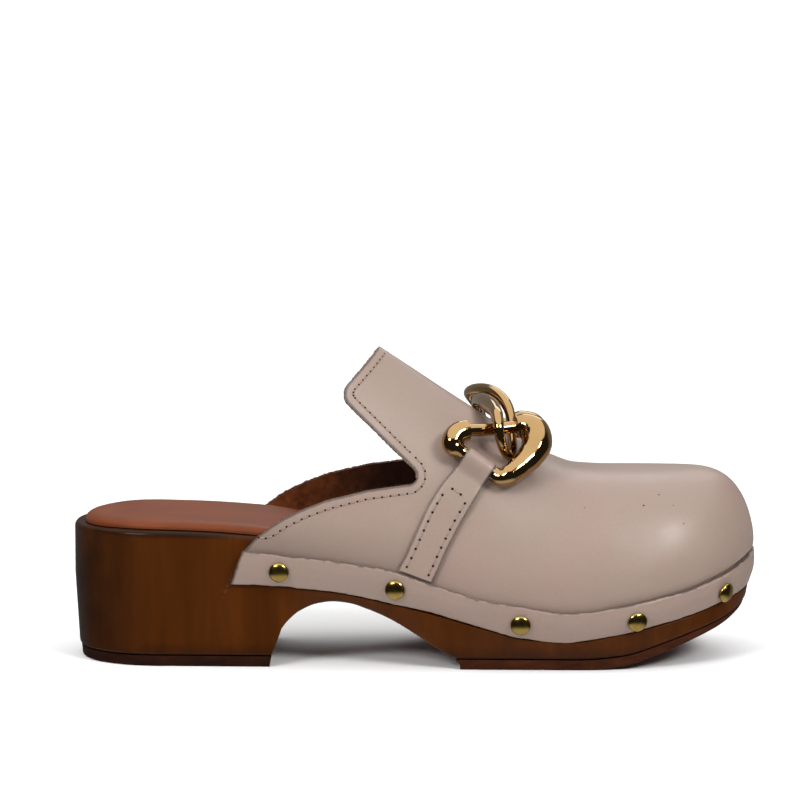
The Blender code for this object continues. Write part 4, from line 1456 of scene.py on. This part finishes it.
def mottled(finish, cloud, dark, light, spread=0.2, bump=None):
    """Material whose colour wanders between two tones, with a bump of a strength and depth."""
    tone = finish.ramp(cloud, (0.5 - spread, dark), (0.5 + spread, light))
    if bump:
        finish.done(Normal=finish.bump(cloud, *bump))
    return finish.done(Base_Color=tone)


def raw_material(name, dark, light):
    finish = Finish(name, Roughness=0.8, Specular_IOR_Level=0.2)
    return mottled(finish, finish.grain(1400, 4.0), srgb(*dark), srgb(*light), bump=(0.6, 0.3))


def thread_material(name, colour):
    finish = Finish(name, Roughness=0.6, Specular_IOR_Level=0.3)
    light = srgb(*colour)
    dark = (*(0.55 * value for value in light[:3]), 1.0)
    return mottled(finish, finish.grain(2600, 2.0), dark, light, 0.15, (0.5, 0.1))


def fibre_material():
    finish = Finish("loose_fibre", Roughness=0.9, Specular_IOR_Level=0.1)
    return mottled(finish, finish.grain(500, 2.0), srgb(46, 30, 22), srgb(104, 82, 68), 0.15)


def pit_shade_material():
    # Dark colour of a hole's inside: painted shade.
    finish = Finish("needle_hole_shade", Roughness=0.9, Specular_IOR_Level=0.05)
    return mottled(finish, finish.grain(2000, 2.0), srgb(24, 15, 11), srgb(52, 35, 27))


def wood_material():
    """Lacquered walnut, darker round the back, partly by stain and partly as painted shade, and darker
    along the top rim and at the foot.
    """
    finish = Finish("walnut", Specular_IOR_Level=0.05, Coat_Weight=0.1, Coat_Roughness=0.14)
    streak = finish.noise(110, 110, 9, 4.0, 0.6)
    tone = finish.ramp(streak, (0.3, srgb(57, 25, 0)), (0.52, srgb(66, 30, 0)), (0.72, srgb(80, 38, 0)))
    fleck = finish.levels(finish.noise(420, 420, 2600, 2.0), 0.60, 0.72, 0.0, 0.30)
    tone = finish.mix(fleck, tone, srgb(34, 15, 5))
    # Round the back the darkening is partly stain and partly painted shade; along the rim and at the foot
    # it is just darker.
    back = finish.levels(finish.axis("X"), *WOOD_BACK_SPAN, 1.0, 0.0)
    rim = finish.levels(finish.axis("Z"), *WOOD_RIM_SPAN, 0.0, 0.8)
    foot = finish.levels(finish.axis("Z"), *WOOD_FOOT_SPAN, 0.55, 0.0)
    stain_and_shade = finish.combine("MAXIMUM", finish.combine("MAXIMUM", back, rim), foot)
    patchy = finish.levels(finish.grain(90), 0.3, 0.6, 0.75, 1.0)
    tone = finish.mix(finish.combine("MULTIPLY", stain_and_shade, patchy), tone, srgb(17, 8, 3))
    rough = finish.levels(streak, 0.3, 0.7, 0.40, 0.52)
    normal = finish.bump(finish.noise(700, 700, 60), 0.05, 0.3)
    return finish.done(Base_Color=tone, Roughness=rough, Normal=normal)


def rubber_material(name, dark, light):
    finish = Finish(name, Roughness=0.6, Specular_IOR_Level=0.06)
    return mottled(finish, finish.noise(120, 120, 400, 4.0), srgb(*dark), srgb(*light), bump=(0.1, 0.3))


def insole_material():
    finish = Finish("insole_leather", Specular_IOR_Level=0.17)
    cloud = finish.grain(45, 4.0)
    finish.done(Roughness=finish.levels(cloud, 0.3, 0.7, 0.42, 0.52))
    finish.done(Normal=finish.bump(finish.grain(1200), 0.12, 0.2))
    return mottled(finish, cloud, srgb(94, 43, 15), srgb(108, 52, 20))


def brass_material():
    finish = Finish("brass", Metallic=1.0)
    cloud = finish.grain(500)
    finish.done(Roughness=finish.levels(cloud, 0.3, 0.7, 0.16, 0.24))
    return mottled(finish, cloud, srgb(150, 124, 62), srgb(172, 146, 82))


def gold_material():
    finish = Finish("pale_gold", Metallic=1.0)
    cloud = finish.grain(90)
    finish.done(Roughness=finish.levels(cloud, 0.3, 0.7, 0.04, 0.08))
    finish.done(Normal=finish.bump(finish.grain(120, 1.0), 0.05, 0.5))
    return mottled(finish, cloud, srgb(164, 132, 88), srgb(174, 142, 98))


# Stage

def make_floor():
    bm = bmesh.new()
    bmesh.ops.create_grid(bm, x_segments=1, y_segments=1, size=FLOOR_HALF)
    finish = Finish("floor_white", Roughness=0.9, Specular_IOR_Level=0.0, Base_Color=grey(FLOOR_TONE))
    away = finish.node("ShaderNodeVectorMath", {0: finish.place}, operation="LENGTH").outputs["Value"]
    glow = finish.levels(away, *FLOOR_FAR, 0.0, FLOOR_GLOW)
    material = finish.done(Emission_Strength=glow, Emission_Color=grey(1.0))
    floor = add_piece("floor", mesh_of(bm, "floor"), [material])
    floor.location.z = FLOOR_Z
    floor.visible_glossy = False


def make_world():
    """Bright overhead, pale straight down, dim at the level of the shoe and dimmest toward the viewer."""
    world = bpy.data.worlds.new("studio")
    bpy.context.scene.world = world
    world.use_nodes = True
    tree = world.node_tree

    def span(value, low, high, to_low, to_high):
        node = tree.nodes.new("ShaderNodeMapRange")
        node.interpolation_type = "SMOOTHSTEP"
        for socket, number in zip(node.inputs[1:5], (low, high, to_low, to_high)):
            socket.default_value = number
        tree.links.new(value, node.inputs[0])
        return node.outputs[0]

    def blend(factor, first, second):
        node = tree.nodes.new("ShaderNodeMix")
        node.inputs[3].default_value = second
        tree.links.new(factor, node.inputs[0])
        tree.links.new(first, node.inputs[2])
        return node.outputs[0]

    split = tree.nodes.new("ShaderNodeSeparateXYZ")
    tree.links.new(tree.nodes.new("ShaderNodeTexCoord").outputs["Generated"], split.inputs[0])
    level = span(split.outputs["Y"], *WORLD_BACK_SPAN, WORLD_DIM, WORLD_BACK)
    level = blend(span(split.outputs["Z"], *WORLD_TOP_SPAN, 0.0, 1.0), level, WORLD_TOP)
    level = blend(span(split.outputs["Z"], *WORLD_DOWN_SPAN, 1.0, 0.0), level, WORLD_DOWN)
    tree.links.new(level, tree.nodes["Background"].inputs["Strength"])
    tree.nodes["Background"].inputs["Color"].default_value = grey(1.0)


def make_light(name, place, target, size, power):
    data = bpy.data.lights.new(name, "AREA")
    data.shape = "RECTANGLE"
    data.size = size[0]
    data.size_y = size[1]
    data.energy = power
    lamp = bpy.data.objects.new(name, data)
    bpy.context.scene.collection.objects.link(lamp)
    lamp.location = place
    lamp.rotation_euler = (Vector(target) - Vector(place)).to_track_quat("-Z", "Y").to_euler()


def make_camera():
    data = bpy.data.cameras.new("camera")
    data.lens = LENS
    data.sensor_width = SENSOR_WIDTH
    data.clip_end = CLIP_END
    camera = bpy.data.objects.new("camera", data)
    bpy.context.scene.collection.objects.link(camera)
    back = Vector((0.0, -math.cos(math.radians(CAMERA_UP)), math.sin(math.radians(CAMERA_UP))))
    camera.location = Vector(CAMERA_AIM) * MM + back * CAMERA_DISTANCE
    camera.rotation_euler = (-back).to_track_quat("-Z", "Y").to_euler()
    bpy.context.scene.camera = camera


STUD_PLACES = {side: [rand_place(x, side)[0] for x in STUD_XS] for side, _ in SIDES}
bpy.context.scene.view_settings.view_transform = "Standard"
make_wood_sole()
make_plates()
make_insole()
make_upper()
make_rand()
make_studs()
make_chain()
make_straps()
make_stitches()
make_lips()
make_fibres()
make_scars()
make_floor()
make_world()
for light in LIGHTS:
    make_light(*light)
make_camera()
